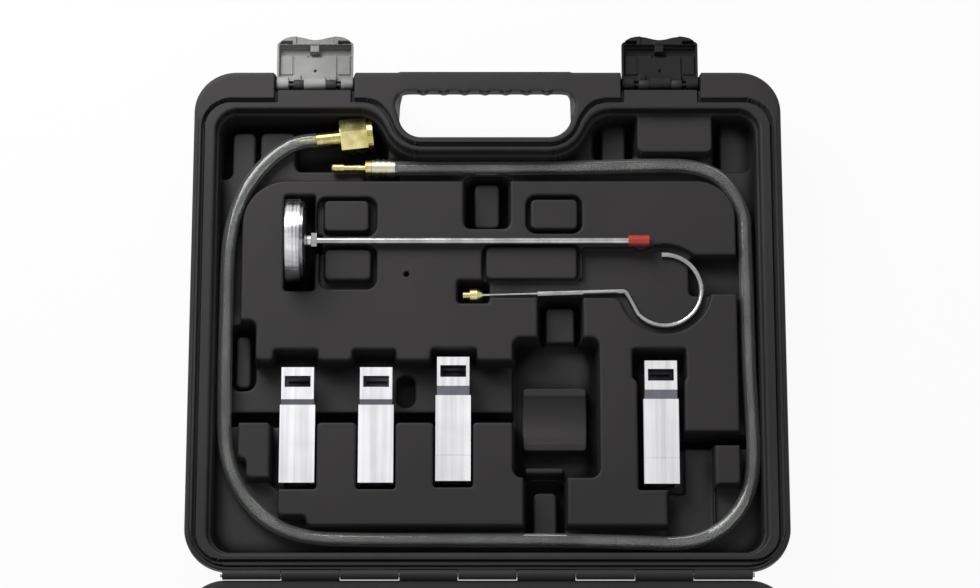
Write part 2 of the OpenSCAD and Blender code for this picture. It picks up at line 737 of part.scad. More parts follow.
// Rolled ring that holds the lens on the cup
module dial_bezel() color(steel_colour) at_dial() rotate([0, 90, 0]) rotate_extrude() {
    r = dial_d / 2;
    skirt = dial_depth - 2.8;
    polygon([[r - bezel_lip - 0.8, 0.9], [r - bezel_lip - 0.8, 0.3], [r - bezel_lip - 0.4, 0],
             [r - 0.8, 0], [r - 0.2, 0.35], [r, 1], [r, skirt], [r - 1.1, skirt], [r - 1.1, 0.9]]);
}

module dial_lens() color([0.85, 0.88, 0.9]) at_dial()
    along_x(1) cylinder(d = dial_d - 2.6, h = 1.4);

module dial_face() color([0.94, 0.94, 0.92]) at_dial() difference() {
    along_x(face_x) cylinder(d = dial_d - 2.6 - 2 * can_t, h = 0.5);
    along_x(face_x - 1) cylinder(d = 1.6, h = 3);
}

module dial_pointer() color([0.75, 0.1, 0.1]) at_dial() difference() {
    union() {
        along_x(face_x - 0.6) cylinder(d = 3.2, h = 0.35);
        translate([face_x - 0.6, 0, 0]) rotate([0, 90, 0]) linear_extrude(0.35)
            polygon([[1.2, -1], [5, -0.7], [5, 0.7], [1.2, 1], [-dial_d * 0.38, 0.25],
                     [-dial_d * 0.38, -0.25]]);
    }
    along_x(face_x - 1) cylinder(d = 0.9, h = 2);
}

module pointer_spindle() color(steel_colour) at_dial()
    along_x(face_x - 0.6) cylinder(d = 0.9, h = coil_x + coil_l - 1 - face_x + 0.6);

// Bimetal coil in the tip of the stem, held by the spindle
module bimetal_coil() color([0.7, 0.5, 0.3]) at_dial() difference() {
    along_x(coil_x) cylinder(d = stem_d - 1.2, h = coil_l);
    along_x(coil_x - 1) cylinder(d = stem_d - 2, h = coil_l);
}

module stem() color(steel_colour) at_dial() difference() {
    along_x(dial_depth + 0.5) cylinder(d = stem_d, h = stem_l - 0.5);
    along_x(dial_depth - 1) cylinder(d = stem_d - 1, h = stem_l - 1);
}

module calibration_nut() color(steel_colour) at_dial() difference() {
    along_x(dial_depth + neck_l + 0.3) cylinder(d = cal_af / cos(30), h = cal_t, $fn = 6);
    along_x(dial_depth) cylinder(d = stem_d + 0.3, h = neck_l + 10);
}

// Red cap pushed over the tip of the stem
module tip_cap() color([0.75, 0.17, 0.14]) at_dial() difference() {
    along_x(dial_depth + stem_l - cap_l + 2) cylinder(d = cap_d, h = cap_l);
    along_x(dial_depth + stem_l - cap_l) cylinder(d = stem_d + 0.3, h = cap_l + 0.4);
}

// ---- the ring probe -----------------------------------------------------------------------

// Frame of the ring probe: origin at the middle of its ring, shank to the left
module at_ring() {
    place() translate([ring_x, ring_y, probe_z]) rotate([0, 0, probe_tilt]) children();
}

bend_x = -22.4;
ring_a0 = 222;
ring_arc = 230;
shank_l = 50.6;
thin_l = 45;
shank_hold = 8;
thin_x = bend_x - shank_l + shank_hold - thin_l;

// Middle line of the shank: straight, bent down to the ring, and round the ring to its open end
bend_r = 3.2;
ring_start = ring_r * [cos(ring_a0), sin(ring_a0)];
leg_slope = atan2(ring_start[1], ring_start[0] - bend_x);
shank_line = concat(
    [[bend_x - shank_l, 0]],
    arc(bend_x - bend_r * tan(-leg_slope / 2), -bend_r, bend_r, 90, 90 + leg_slope, 4),
    arc(0, 0, ring_r, ring_a0, ring_a0 + ring_arc, 24));
shank_sides = 12;

// Rod of one diameter along a flat line, closed at its two ends
module bent_rod(line, d, n) {
    m = len(line);
    points = [for (i = [0:m - 1])
        let (t = unit(line[min(i + 1, m - 1)] - line[max(i - 1, 0)])) each section(line[i], t, d / 2, n, 0)];
    faces = concat(
        [for (i = [0:m - 2]) for (k = [0:n - 1]) let (a = i * n + k, b = i * n + (k + 1) % n)
            each [[a, b, b + n], [a, b + n, a + n]]],
        [[for (k = [n - 1:-1:0]) k], [for (k = [0:n - 1]) (m - 1) * n + k]]);
    polyhedron(points, faces, convexity = 8);
}

// Shank, bent into a ring that stays open at the top
module ring_shank() color(steel_colour) at_ring() difference() {
    bent_rod(shank_line, ring_rod_d, shank_sides);
    along_x(bend_x - shank_l - 1) cylinder(d = thin_rod_d, h = shank_hold + 1);
}

module thin_rod() color(steel_colour) at_ring()
    along_x(thin_x) cylinder(d = thin_rod_d, h = thin_l);

// Brass end with its collar and taper
module brass_nipple() color(brass_colour) at_ring()
    translate([thin_x - 1.8, 0, 0]) difference() {
        union() {
            along_x(-4) cylinder(d = nipple_d * 0.6, h = 5);
            along_x(0) cylinder(d = nipple_d, h = 4);
            along_x(4) cylinder(d1 = nipple_d, d2 = nipple_d * 0.55, h = 3);
        }
        along_x(-5) cylinder(d = nipple_d * 0.3, h = 6);
        along_x(1.8) cylinder(d = thin_rod_d, h = 10);
    }

// ---- the clamps ---------------------------------------------------------------------------

rivet_y = 6;
rivet_z = 9;

// Frame of clamp i: origin at the middle of its end nearest the hinge, on its slot's floor
module at_clamp(i) {
    place() translate([clamp_mid_x[i], clamp_end_y[i], clamp_z + rest_clear]) children();
}

// Profile of an upper jaw seen from its side: body, sloping step and head, d below its top
function jaw_side(i, d) =
    let (l = clamp_long[i], y1 = l - clamp_head[i] - clamp_band[i], y2 = l - clamp_head[i])
    [[0, clamp_h - d], [y1, clamp_h - d], [y2, clamp_h + head_rise - d],
     [l, clamp_h + head_rise - d]];

module side_prism(w, points) {
    translate([-w / 2, 0, 0]) rotate([90, 0, 90]) linear_extrude(w) polygon(points);
}

// Upper jaw: folded sheet with a narrower raised head, its window and a pinching ridge
module clamp_upper_jaw(i) color(steel_colour) at_clamp(i) {
    l = clamp_long[i];
    top = jaw_side(i, 0);
    neck = l - clamp_head[i] - clamp_band[i];
    difference() {
        intersection() {
            side_prism(clamp_w, concat(top, [[l, clamp_h + head_rise - 7], [neck, clamp_h - fold_h],
                                             [0, clamp_h - fold_h]]));
            union() {
                translate([-clamp_w / 2, -1, 0]) cube([clamp_w, neck + 1, 40]);
                translate([-head_w / 2, neck - 1, 0]) cube([head_w, l, 40]);
            }
        }
        // inside of the fold
        side_prism(head_w - 2 * clamp_t, [
            [-1, clamp_h - clamp_t], [neck, clamp_h - clamp_t],
            [l - clamp_head[i], clamp_h + head_rise - clamp_t],
            [l - clamp_t, clamp_h + head_rise - clamp_t], [l - clamp_t, -1], [-1, -1]]);
        translate([-head_w * 0.4, l - clamp_head[i] * clamp_window[i][0], clamp_h - 4])
            cube([head_w * 0.8, clamp_head[i] * clamp_window[i][1], 20]);
        translate([-clamp_w, rivet_y, rivet_z]) along_x(0)
            cylinder(d = rivet_d + 2 * pin_fit, h = 2 * clamp_w);
        if (i >= 2) translate([-clamp_w, 14.6, clamp_h - 0.4]) cube([clamp_w * 2, 0.5, 2]);
    }
    // ridge that pinches the hose
    translate([-head_w / 2 + clamp_t - 0.2, 34, clamp_h - clamp_t - 3]) cube([
        head_w - 2 * clamp_t + 0.4, 2.4, 3.4]);
}

// Lower jaw: a channel open upwards that rests in the slot, narrower than the upper jaw
module clamp_lower_jaw(i) color(steel_colour) at_clamp(i) {
    l = clamp_long[i] - 3;
    w = head_w - 2 * clamp_t - 0.6;
    low_h = clamp_h * 0.2;
    ear_h = rivet_z + rivet_d * 0.9;
    difference() {
        side_prism(w, [[1, 0], [l, 0], [l, low_h], [l - 30, low_h], [22, 2 * low_h], [15, ear_h],
                       [5, ear_h], [1, rivet_z - 1]]);
        side_prism(w - 2 * clamp_t, [[-1, clamp_t], [l - clamp_t, clamp_t], [l - clamp_t, 30],
                                     [-1, 30]]);
        translate([-clamp_w, rivet_y, rivet_z]) along_x(0)
            cylinder(d = rivet_d + 2 * pin_fit, h = 2 * clamp_w);
    }
    translate([-w / 2 + clamp_t - 0.2, 33.4, clamp_t - 0.2]) cube([w - 2 * clamp_t + 0.4, 3.6, 6]);
}

module clamp_rivet(i) color(steel_colour) at_clamp(i)
    translate([0, rivet_y, rivet_z]) {
        along_x(-clamp_w / 2) cylinder(d = rivet_d, h = clamp_w);
    }

// ---- drawing ------------------------------------------------------------------------------

case_tray();
case_lid();
hinge_pin();
latch_left();
latch_right();
latch_pin_left();
latch_pin_right();
hose();
union_barb();
union_nut();
union_washer();
nozzle();
crimp_ferrule();
dial_case();
dial_bezel();
dial_lens();
dial_face();
dial_pointer();
pointer_spindle();
bimetal_coil();
stem();
calibration_nut();
tip_cap();
ring_shank();
thin_rod();
brass_nipple();
for (i = [0:3]) {
    clamp_upper_jaw(i);
    clamp_lower_jaw(i);
    clamp_rivet(i);
}
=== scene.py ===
"""Looks of the open pressure tester case: its moulded tray and lid, and the hose, thermometer,
ring probe and clamps that lie in the tray. Lengths are in millimetres in the tray's own frame
(Y from the tray's hinge side, Z from its underside) until place() turns them into metres."""
import math

import bmesh
import bpy
import numpy as np
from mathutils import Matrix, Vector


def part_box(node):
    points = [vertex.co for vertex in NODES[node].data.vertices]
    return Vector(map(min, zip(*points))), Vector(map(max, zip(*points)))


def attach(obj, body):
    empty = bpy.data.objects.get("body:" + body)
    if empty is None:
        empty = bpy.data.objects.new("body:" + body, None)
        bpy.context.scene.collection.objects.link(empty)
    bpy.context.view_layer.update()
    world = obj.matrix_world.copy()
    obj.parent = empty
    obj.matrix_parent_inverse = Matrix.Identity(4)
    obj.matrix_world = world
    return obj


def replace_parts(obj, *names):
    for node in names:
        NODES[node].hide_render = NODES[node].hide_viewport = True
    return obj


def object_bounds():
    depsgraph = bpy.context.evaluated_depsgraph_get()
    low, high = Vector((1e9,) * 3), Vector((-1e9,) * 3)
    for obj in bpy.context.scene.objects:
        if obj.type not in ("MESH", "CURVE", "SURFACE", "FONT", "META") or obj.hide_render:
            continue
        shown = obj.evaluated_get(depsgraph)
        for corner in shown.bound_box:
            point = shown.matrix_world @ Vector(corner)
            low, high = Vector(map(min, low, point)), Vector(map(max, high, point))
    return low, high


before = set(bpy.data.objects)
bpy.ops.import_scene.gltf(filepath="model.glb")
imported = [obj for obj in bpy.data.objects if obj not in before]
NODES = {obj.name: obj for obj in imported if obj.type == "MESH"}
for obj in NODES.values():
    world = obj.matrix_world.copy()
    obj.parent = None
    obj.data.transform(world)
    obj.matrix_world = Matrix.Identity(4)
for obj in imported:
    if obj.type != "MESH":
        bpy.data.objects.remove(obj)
CAD_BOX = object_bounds()

# ---- driving sizes ------------------------------------------------------------------------

CASE_W, CASE_D, HALF_H = 340.0, 294.0, 44.0
CORNER_R = 24.0
DRAFT_IN, DRAFT_TOP = 7.0, HALF_H * 0.82   # lean of the outer wall at its foot, and where it starts
HINGE_GAP = 5.6                            # between the two halves where they lie open
HINGE_Z = HALF_H + 0.1
RIM_SIDE, RIM_FRONT = 4.5, 16.3            # width of the rim's raised band, and at the handle
WALL_SIDE, WALL_BACK, WALL_FRONT = 12.5, 9.6, 22.4   # width of the walls round the hollow
SHELF = 2.0                                # width of the step inside the walls
SLOT_W, SLOT_H, SLOT_X = 104.0, 28.0, -1.4
SLOT_Y = CASE_D - 11.5 - SLOT_H / 2
SLOT_GUARD = 8.5                           # wall between the handle slot and the hollow
HANDLE_T = 14.0                            # thickness of the handle bar
LATCH_X, LATCH_W, LATCH_L, LATCH_CLEAR = 100.6, 44.6, 30.0, 0.8
LATCH_Y, LATCH_Z = CASE_D - 6.0, HALF_H - 7.0        # axis of the latches' pins
HOSE_OD, HOSE_ID = 8.6, 5.6
UNION_TILT = 6.4                           # turn of the brass union from the X axis, in degrees

# Heights of the tray's and the lid's floors, and of the hose's middle
FIELD_Z, CHANNEL_Z, MOAT_Z = HALF_H - 8, HALF_H - 19, HALF_H - 14
CLAMP_Z, WELL_Z, POCKET_Z = HALF_H - 24, HALF_H - 32, HALF_H - 30
PROBE_Z = FIELD_Z - 5
MID_Z = (CHANNEL_Z + CLAMP_Z) / 2
LID_FLOOR_Z = HALF_H - 32
HOSE_Z = CHANNEL_Z + HOSE_OD / 2 + 0.25

STEM_Y, HEAD_X = 192.7, -115.6             # the thermometer's stem, and the front of its dial
RING_X, RING_Y = 101.7, 165.2

# The four clamps from the left: middle, end towards the hinge, length, length of the head, and width of the
# band of painted shade next to it, where the bent step faces away from the light
CLAMP_X = (-107.9, -63.3, -19.5, 98.6)
CLAMP_END = (51.6, 51.6, 52.6, 51.0)
CLAMP_LONG = (66.5, 66.5, 71.6, 71.0)
CLAMP_HEAD = (18.6, 18.6, 16.8, 16.8)
CLAMP_SHADE_BAND = (2.6, 2.6, 4.9, 4.9)

_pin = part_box("hinge_pin")
SHIFT_Y = (_pin[0].y + _pin[1].y) * 500 + HINGE_GAP / 2


def place(points):
    """Tray frame in millimetres to the part's frame in metres."""
    p = np.asarray(points, float) + np.array([0, SHIFT_Y, 0])
    return p * 0.001


# ---- camera -------------------------------------------------------------------------------

CAMERA_AT = (0.00143, -0.3572, 1.8749)
CAMERA_TILT = 15.5
CAMERA_LENS = 122.3


def make_camera():
    """Camera above the tray, tilted towards the handle, as the photograph was taken."""
    data = bpy.data.cameras.new("camera")
    data.lens = CAMERA_LENS
    data.sensor_width = 36
    data.clip_start, data.clip_end = 0.05, 20
    camera = bpy.data.objects.new("camera", data)
    camera.location = CAMERA_AT
    camera.rotation_euler = (math.radians(CAMERA_TILT), 0, 0)
    bpy.context.scene.collection.objects.link(camera)
    bpy.context.scene.camera = camera


make_camera()

# ---- materials ----------------------------------------------------------------------------


class Sock:
    """A node's output that Python's operators join to Math nodes; maths() adds the one it names."""

    def __init__(self, paint, socket):
        self.paint, self.socket = paint, socket

    def maths(self, operation, *others):
        return self.paint.node("ShaderNodeMath", [self, *others], operation=operation)

    def __add__(self, other):
        return self.maths("ADD", other)

    def __sub__(self, other):
        return self.maths("SUBTRACT", other)

    def __rsub__(self, other):
        return self.paint.node("ShaderNodeMath", [other, self], operation="SUBTRACT")

    def __mul__(self, other):
        return self.maths("MULTIPLY", other)

    def __truediv__(self, other):
        return self.maths("DIVIDE", other)

    def __pow__(self, other):
        return self.maths("POWER", other)

    __radd__, __rmul__ = __add__, __mul__

    def clamp(self, low=0.0, high=1.0):
        """The value kept between low and high."""
        return self.maths("MAXIMUM", low).maths("MINIMUM", high)

    def band(self, low, high):
        """0 below low, 1 above high and a smooth rise between them."""
        return self.paint.node("ShaderNodeMapRange", {"Value": self, "From Min": low, "From Max": high},
                               interpolation_type="SMOOTHSTEP")


class Paint:
    """One material: its Principled shader, and the nodes that feed it."""

    def __init__(self, name, **fixed):
        self.material = bpy.data.materials.new(name)
        self.material.use_nodes = True
        self.tree = self.material.node_tree
        self.tree.nodes.clear()
        self.shader = self.tree.nodes.new("ShaderNodeBsdfPrincipled")
        self.end = self.tree.nodes.new("ShaderNodeOutputMaterial")
        self.tree.links.new(self.shader.outputs[0], self.end.inputs["Surface"])
        for key, value in fixed.items():
            self.shader.inputs[key.replace("_", " ")].default_value = value
        self.at = self.node("ShaderNodeTexCoord", {}, out="Object")

    def node(self, kind, inputs, out=0, stops=None, **settings):
        """A node with its settings made first, then its inputs, as values or links."""
        n = self.tree.nodes.new(kind)
        for key, value in settings.items():
            setattr(n, key, value)
        if stops:
            for element, (at, colour) in zip(n.color_ramp.elements, stops):
                element.position, element.color = at, colour
        pairs = inputs.items() if isinstance(inputs, dict) else enumerate(inputs)
        for key, value in pairs:
            if isinstance(value, Sock):
                self.tree.links.new(value.socket, n.inputs[key])
            else:
                n.inputs[key].default_value = value
        return Sock(self, n.outputs[out])

    def feed(self, socket, value):
        """Joins a value to the shader's own socket."""
        self.tree.links.new(value.socket, self.shader.inputs[socket])

    def noise(self, scale, detail=3.0, rough=0.5, stretch=(1, 1, 1)):
        """Noise of scale cells a metre, drawn out along the axes whose stretch is below 1."""
        where = self.node("ShaderNodeMapping", {"Vector": self.at, "Scale": stretch})
        return self.node("ShaderNodeTexNoise", {"Vector": where, "Scale": scale, "Detail": detail,
                                                "Roughness": rough}, out="Fac")

    def mix(self, factor, a, b):
        """Colour a where the factor is 0, b where it is 1."""
        n = self.tree.nodes.new("ShaderNodeMix")
        n.data_type = "RGBA"
        for index, value in ((0, factor), (6, a), (7, b)):
            if isinstance(value, Sock):
                self.tree.links.new(value.socket, n.inputs[index])
            else:
                n.inputs[index].default_value = value if index == 0 else (*value, 1)
        return Sock(self, n.outputs[2])

    def bump(self, height, depth, strength=1.0):
        """Relief of height, 0 to 1, times depth in metres."""
        self.feed("Normal", self.node("ShaderNodeBump", {"Height": height, "Distance": depth,
                                                         "Strength": strength}))


def moulded_plastic(name, dark, light, rough, grain=0.00004, shine=0.5):
    """Injection or blow moulded plastic: a fine grain, clouds of duller and shinier skin."""
    p = Paint(name, IOR=1.46, Specular_IOR_Level=shine)
    clouds = p.noise(14, 4)
    grit = p.noise(1500, 2)
    streaks = p.noise(60, 3, stretch=(0.25, 1, 1))
    p.feed("Base Color", p.mix(clouds.band(0.3, 0.7) * 0.7 + grit * 0.3, dark, light))
    p.feed("Roughness", (rough - 0.05 + clouds * 0.08 + streaks * 0.05 + grit * 0.05).clamp(0.05, 1))
    p.bump(grit * 0.8 + p.noise(420, 2) * 0.6, grain)
    return p.material


def turned_metal(name, dull, bright, rough, marks=0.00001, scale=(1, 1, 1)):
    """Bare metal: fine marks of its tool, drawn out by scale, with duller patches."""
    p = Paint(name)
    patches = p.noise(90, 4)
    lines = p.noise(2200, 2, stretch=scale)
    p.feed("Base Color", p.mix(patches.band(0.35, 0.7), dull, bright))
    p.shader.inputs["Metallic"].default_value = 1
    p.feed("Roughness", (rough + patches * 0.12 + lines * 0.08 - 0.08).clamp(0.04, 1))
    p.bump(lines, marks)
    return p.material


def case_plastic():
    """Black moulded plastic of the case: a pebbled skin, with painted shade that makes it dull and nearly
    black in the hollows and on steep walls, where the surface's painted shade attribute is high."""
    p = Paint("case_plastic", IOR=1.46, Specular_IOR_Level=0.15)
    clouds, grit = p.noise(9, 4), p.noise(1300, 2)
    # Painted shade: the surface's attribute darkens the skin nearly to black and dulls it in hollows and on
    # steep walls
    shade_mask = p.node("ShaderNodeAttribute", {}, out="Fac", attribute_name="painted_shade").clamp()
    skin = p.mix(clouds.band(0.3, 0.7) * 0.6 + grit * 0.4, (0.032, 0.030, 0.031), (0.047, 0.044, 0.046))
    p.feed("Base Color", p.mix(shade_mask * 0.92, skin, (0.002, 0.002, 0.002)))
    p.feed("Roughness", (clouds * 0.10 + grit * 0.05 + 0.42 + shade_mask * 0.4).clamp(0.05, 1))
    p.bump(grit * 0.8 + p.noise(420, 2) * 0.6, 0.00004)
    return p.material


CASE = case_plastic()
# The left latch is the black latch plastic lightened to grey: a painted sheen where it catches the light
LATCH_PAINTED_SHEEN = moulded_plastic("latch_light", (0.14, 0.14, 0.135), (0.42, 0.42, 0.41), 0.42, 0.00008)
LATCH_DARK = moulded_plastic("latch_dark", (0.012, 0.011, 0.012), (0.022, 0.021, 0.022), 0.42, shine=0.15)


def stamped_steel(n):
    """Bright stamped plate of a clamp's upper jaw: streaks along it, and painted shade on the bent band
    between its head and its body, found from the clamp's own lengths."""
    p = Paint(f"stamped_steel_{n + 1}", Metallic=1.0)
    y = p.node("ShaderNodeSeparateXYZ", {"Vector": p.at}, out="Y")
    streaks = p.noise(260, 2, stretch=(1, 0.03, 1))
    band_end = (CLAMP_END[n] + CLAMP_LONG[n] - CLAMP_HEAD[n] + SHIFT_Y) / 1000
    band = CLAMP_SHADE_BAND[n] / 1000
    # Painted shade on the bent step, which faces away from the light
    inside = y.band(band_end - band - 0.0003, band_end - band) * (1 - y.band(band_end - 0.0003, band_end))
    plate = p.mix(streaks.band(0.3, 0.7), (0.66, 0.66, 0.68), (0.84, 0.84, 0.86))
    p.feed("Base Color", p.mix(inside * 0.85, plate, (0.09, 0.09, 0.12)))
    p.feed("Roughness", (p.noise(90, 3) * 0.12 + 0.28 + inside * 0.3).clamp(0.05, 1))
    p.bump(p.noise(2000, 2, stretch=(1, 0.03, 1)), 0.000004)
    return p.material


def spun_steel():
    """Bright spun cup of the dial: rings round its axis, and painted shade that darkens it towards the upper
    and lower side.
    """
    p = Paint("spun_steel", Metallic=1.0)
    y = p.node("ShaderNodeSeparateXYZ", {"Vector": p.at}, out="Y") - (STEM_Y + SHIFT_Y) / 1000
    rings = p.noise(330, 2, stretch=(1, 0.02, 0.02))
    smears = p.noise(150, 3, stretch=(0.3, 1, 0.5))
    # Painted shade towards the cup's upper and lower side
    off = y.maths("ABSOLUTE").band(0.006, 0.025)
    bright = (rings.band(0.40, 0.60) * 0.75 + smears.band(0.35, 0.65) * 0.35 - off * 0.35).clamp()
    p.feed("Base Color", p.mix(bright, (0.09, 0.09, 0.10), (0.80, 0.80, 0.81)))
    p.feed("Roughness", smears * 0.15 + 0.14)
    p.bump(rings, 0.00001)
    return p.material


STEEL = turned_metal("steel", (0.30, 0.30, 0.31), (0.46, 0.46, 0.47), 0.28, scale=(0.05, 1, 1))
# Near-black steel of the lower jaws and the latch pins: painted shade, so that the insides of the clamps'
# windows look dark
SHADE_STEEL = turned_metal("steel_painted_shade", (0.02, 0.02, 0.022), (0.06, 0.06, 0.065), 0.45, 0.000004, (1, 0.03, 1))
CHROME = turned_metal("chrome", (0.34, 0.34, 0.35), (0.46, 0.46, 0.48), 0.2)
SPUN = spun_steel()
BRASS = turned_metal("brass", (0.40, 0.34, 0.12), (0.66, 0.60, 0.31), 0.24, 0.00002, (1, 0.1, 0.1))
NICKEL = turned_metal("nickel_brass", (0.44, 0.41, 0.28), (0.66, 0.63, 0.48), 0.26, 0.00002, (1, 0.1, 0.1))


def clear_tube():
    """Clear plasticised tube: grey, slightly milky, with a greasy shine."""
    p = Paint("clear_hose", IOR=1.40)
    haze = p.noise(30, 3)
    p.shader.inputs["Transmission Weight"].default_value = 0.88
    p.feed("Base Color", p.mix(haze.band(0.3, 0.7), (0.48, 0.50, 0.48), (0.64, 0.66, 0.64)))
    p.feed("Roughness", haze * 0.05 + 0.02)
    p.bump(p.noise(12, 1), 0.0001)
    return p.material


def lens_glass():
    """Clear lens of the dial, with a trace of dust."""
    p = Paint("lens", IOR=1.5)
    p.shader.inputs["Transmission Weight"].default_value = 1.0
    p.feed("Base Color", p.mix(p.noise(60), (0.93, 0.95, 0.96), (0.99, 1, 1)))
    p.feed("Roughness", p.noise(500) * 0.05)
    return p.material


def dipped_red(name, dark, light, rough):
    """Dipped plastic or enamel, glossy, a little uneven."""
    p = Paint(name)
    p.feed("Base Color", p.mix(p.noise(180), dark, light))
    p.feed("Roughness", p.noise(300) * 0.12 + rough)
    p.bump(p.noise(500), 0.00002)
    return p.material


HOSE = clear_tube()
LENS = lens_glass()
RED = dipped_red("cap_red", (0.42, 0.02, 0.01), (0.60, 0.05, 0.03), 0.22)
POINTER = dipped_red("pointer", (0.35, 0.01, 0.01), (0.50, 0.03, 0.02), 0.35)
SEAL = moulded_plastic("seal", (0.010, 0.010, 0.010), (0.02, 0.02, 0.02), 0.6)


def dial_card():
    """White card of the dial: fifty fine ticks, ten long ones and a ring, from the angle and the
    distance to the card's middle."""
    p = Paint("dial", Roughness=0.5)
    low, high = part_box("dial_face")
    size = (high[1] - low[1]) / 2
    y = p.node("ShaderNodeSeparateXYZ", {"Vector": p.at}, out="Y") - (low[1] + high[1]) / 2
    z = p.node("ShaderNodeSeparateXYZ", {"Vector": p.at}, out="Z") - (low[2] + high[2]) / 2
    far = (y * y + z * z) ** 0.5 / size
    turn = z.maths("ARCTAN2", y) / (2 * math.pi) + 1.0

    def ticks(count, width, start):
        """1 on each of count short lines from start, a part of the radius, outwards."""
        off = ((turn * count).maths("FRACT") - 0.5).maths("ABSOLUTE")
        return off.band(0.5 - width, 0.5 - width * 0.7) * far.band(start - 0.01, start)

    ink = ticks(50, 0.16, 0.80).maths("MAXIMUM", ticks(10, 0.06, 0.70)) * (1 - far.band(0.90, 0.91))
    ink = ink.maths("MAXIMUM", far.band(0.915, 0.92) * (1 - far.band(0.935, 0.94)))
    card = p.mix(p.noise(120), (0.76, 0.76, 0.74), (0.84, 0.84, 0.82))
    p.feed("Base Color", p.mix(ink, card, (0.02, 0.02, 0.02)))
    return p.material


DIAL = dial_card()

# ---- meshes -------------------------------------------------------------------------------


def make_piece(name, points, faces, body, material, normals=None, closed=False):
    """A mesh object from an array of points in millimetres and an array of faces. Its normals are
    given, or smooth where the faces meet at less than 40 degrees; a closed shell faces outwards."""
    mesh = bpy.data.meshes.new(name)
    mesh.from_pydata(place(points).tolist(), [], faces if isinstance(faces, list) else faces.tolist())
    if closed:
        shell = bmesh.new()
        shell.from_mesh(mesh)
        if shell.calc_volume(signed=True) < 0:
            bmesh.ops.reverse_faces(shell, faces=shell.faces)
            shell.to_mesh(mesh)
        shell.free()
    mesh.polygons.foreach_set("use_smooth", np.full(len(mesh.polygons), True))
    mesh.materials.append(material)
    mesh.update()
    if normals is None:
        mesh.set_sharp_from_angle(angle=math.radians(40))
    else:
        mesh.normals_split_custom_set_from_vertices(normals)
    piece = bpy.data.objects.new(name, mesh)
    bpy.context.scene.collection.objects.link(piece)
    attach(piece, body)
    return piece


def quads(rows, columns, closed_rows=False, closed_columns=False):
    """Corner numbers of the cells of a grid, counted row by row."""
    i = np.arange(rows if closed_rows else rows - 1)[:, None]
    j = np.arange(columns if closed_columns else columns - 1)[None, :]
    i1, j1 = (i + 1) % rows, (j + 1) % columns
    cells = [i * columns + j, i1 * columns + j, i1 * columns + j1, i * columns + j1]
    return np.stack(np.broadcast_arrays(*cells), axis=-1).reshape(-1, 4)


def used_only(faces):
    """Numbers of the points that the faces use, and the faces renumbered to them."""
    used, again = np.unique(faces, return_inverse=True)
    return used, again.reshape(faces.shape)


def bar_x(section, stations):
    """Points and faces of a closed section in YZ carried along X. The stations are pairs of x and
    the section's scale about its middle; a fan closes each end."""
    section = np.asarray(section, float)
    middle = section.mean(axis=0)
    n, m = len(section), len(stations)
    rings = [np.column_stack([np.full(n, x), middle + (section - middle) * scale]) for x, scale in stations]
    ends = np.array([[stations[0][0], *middle], [stations[-1][0], *middle]])
    k = np.arange(n)
    k1 = (k + 1) % n
    fans = np.concatenate([np.stack([k, k1, np.full(n, m * n)], axis=1),
                           np.stack([k1, k, np.full(n, m * n + 1)], axis=1) + [(m - 1) * n, (m - 1) * n, 0]])
    return np.concatenate(rings + [ends]), quads(m, n, closed_columns=True).tolist() + fans.tolist()


def together(parts):
    """One set of points and faces from several."""
    points, faces, count = [], [], 0
    for p, f in parts:
        points.append(p)
        faces += [[k + count for k in face] for face in f]
        count += len(p)
    return np.concatenate(points), faces


def slab(u, v, top, low):
    """Points and faces of a closed block over a grid: its top and its underside are heights at
    the grid's points, and strips join their edges."""
    n = top.size
    number = np.arange(n).reshape(top.shape)
    rim = np.concatenate([number[:, 0], number[-1, 1:], number[-2::-1, -1], number[0, -2:0:-1]])
    after = np.roll(rim, -1)
    grid = quads(*top.shape)
    faces = np.concatenate([grid, grid[:, ::-1] + n, np.stack([rim + n, after + n, after, rim], axis=1)])
    points = np.concatenate([np.stack([u, v, h], axis=-1).reshape(-1, 3) for h in (top, low)])
    return points, faces


# ---- plane distances: negative inside a shape, in millimetres -------------------------------


def box_sd(x, y, x0, y0, x1, y1, r):
    """Distance to a rectangle with corners of radius r."""
    qx = np.abs(x - (x0 + x1) / 2) - (x1 - x0) / 2 + r
    qy = np.abs(y - (y0 + y1) / 2) - (y1 - y0) / 2 + r
    return np.minimum(np.maximum(qx, qy), 0) + np.hypot(np.maximum(qx, 0), np.maximum(qy, 0)) - r


def polygon_sd(x, y, corners):
    """Distance to a closed outline: the least over its edges, negative where a ray crosses it
    an odd number of times."""
    best = np.full(x.shape, 1e9)
    inside = np.zeros(x.shape, bool)
    for (ax, ay), (bx, by) in zip(corners, np.roll(corners, -1, axis=0)):
        ex, ey = bx - ax, by - ay
        t = np.clip(((x - ax) * ex + (y - ay) * ey) / (ex * ex + ey * ey), 0, 1)
        best = np.minimum(best, np.hypot(x - ax - t * ex, y - ay - t * ey))
        if ay != by:
            crosses = ((ay > y) != (by > y)) & (x < (y - ay) * ex / ey + ax)
            inside ^= crosses
    return np.where(inside, -best, best)


def join(a, b, k=3.0):
    """Union of two shapes, the corner between them filled over about k."""
    h = np.clip(0.5 + 0.5 * (b - a) / k, 0, 1)
    return b * (1 - h) + a * h - k * h * (1 - h)


def cut(a, b, k=3.0):
    """Shape a without shape b, the corner between them rounded over about k."""
    return -join(-a, b, k)


def arc(x, y, r, a0, a1, n):
    """n + 1 points of an arc round (x, y)."""
    a = np.radians(np.linspace(a0, a1, n + 1))
    return np.stack([x + r * np.cos(a), y + r * np.sin(a)], axis=1)


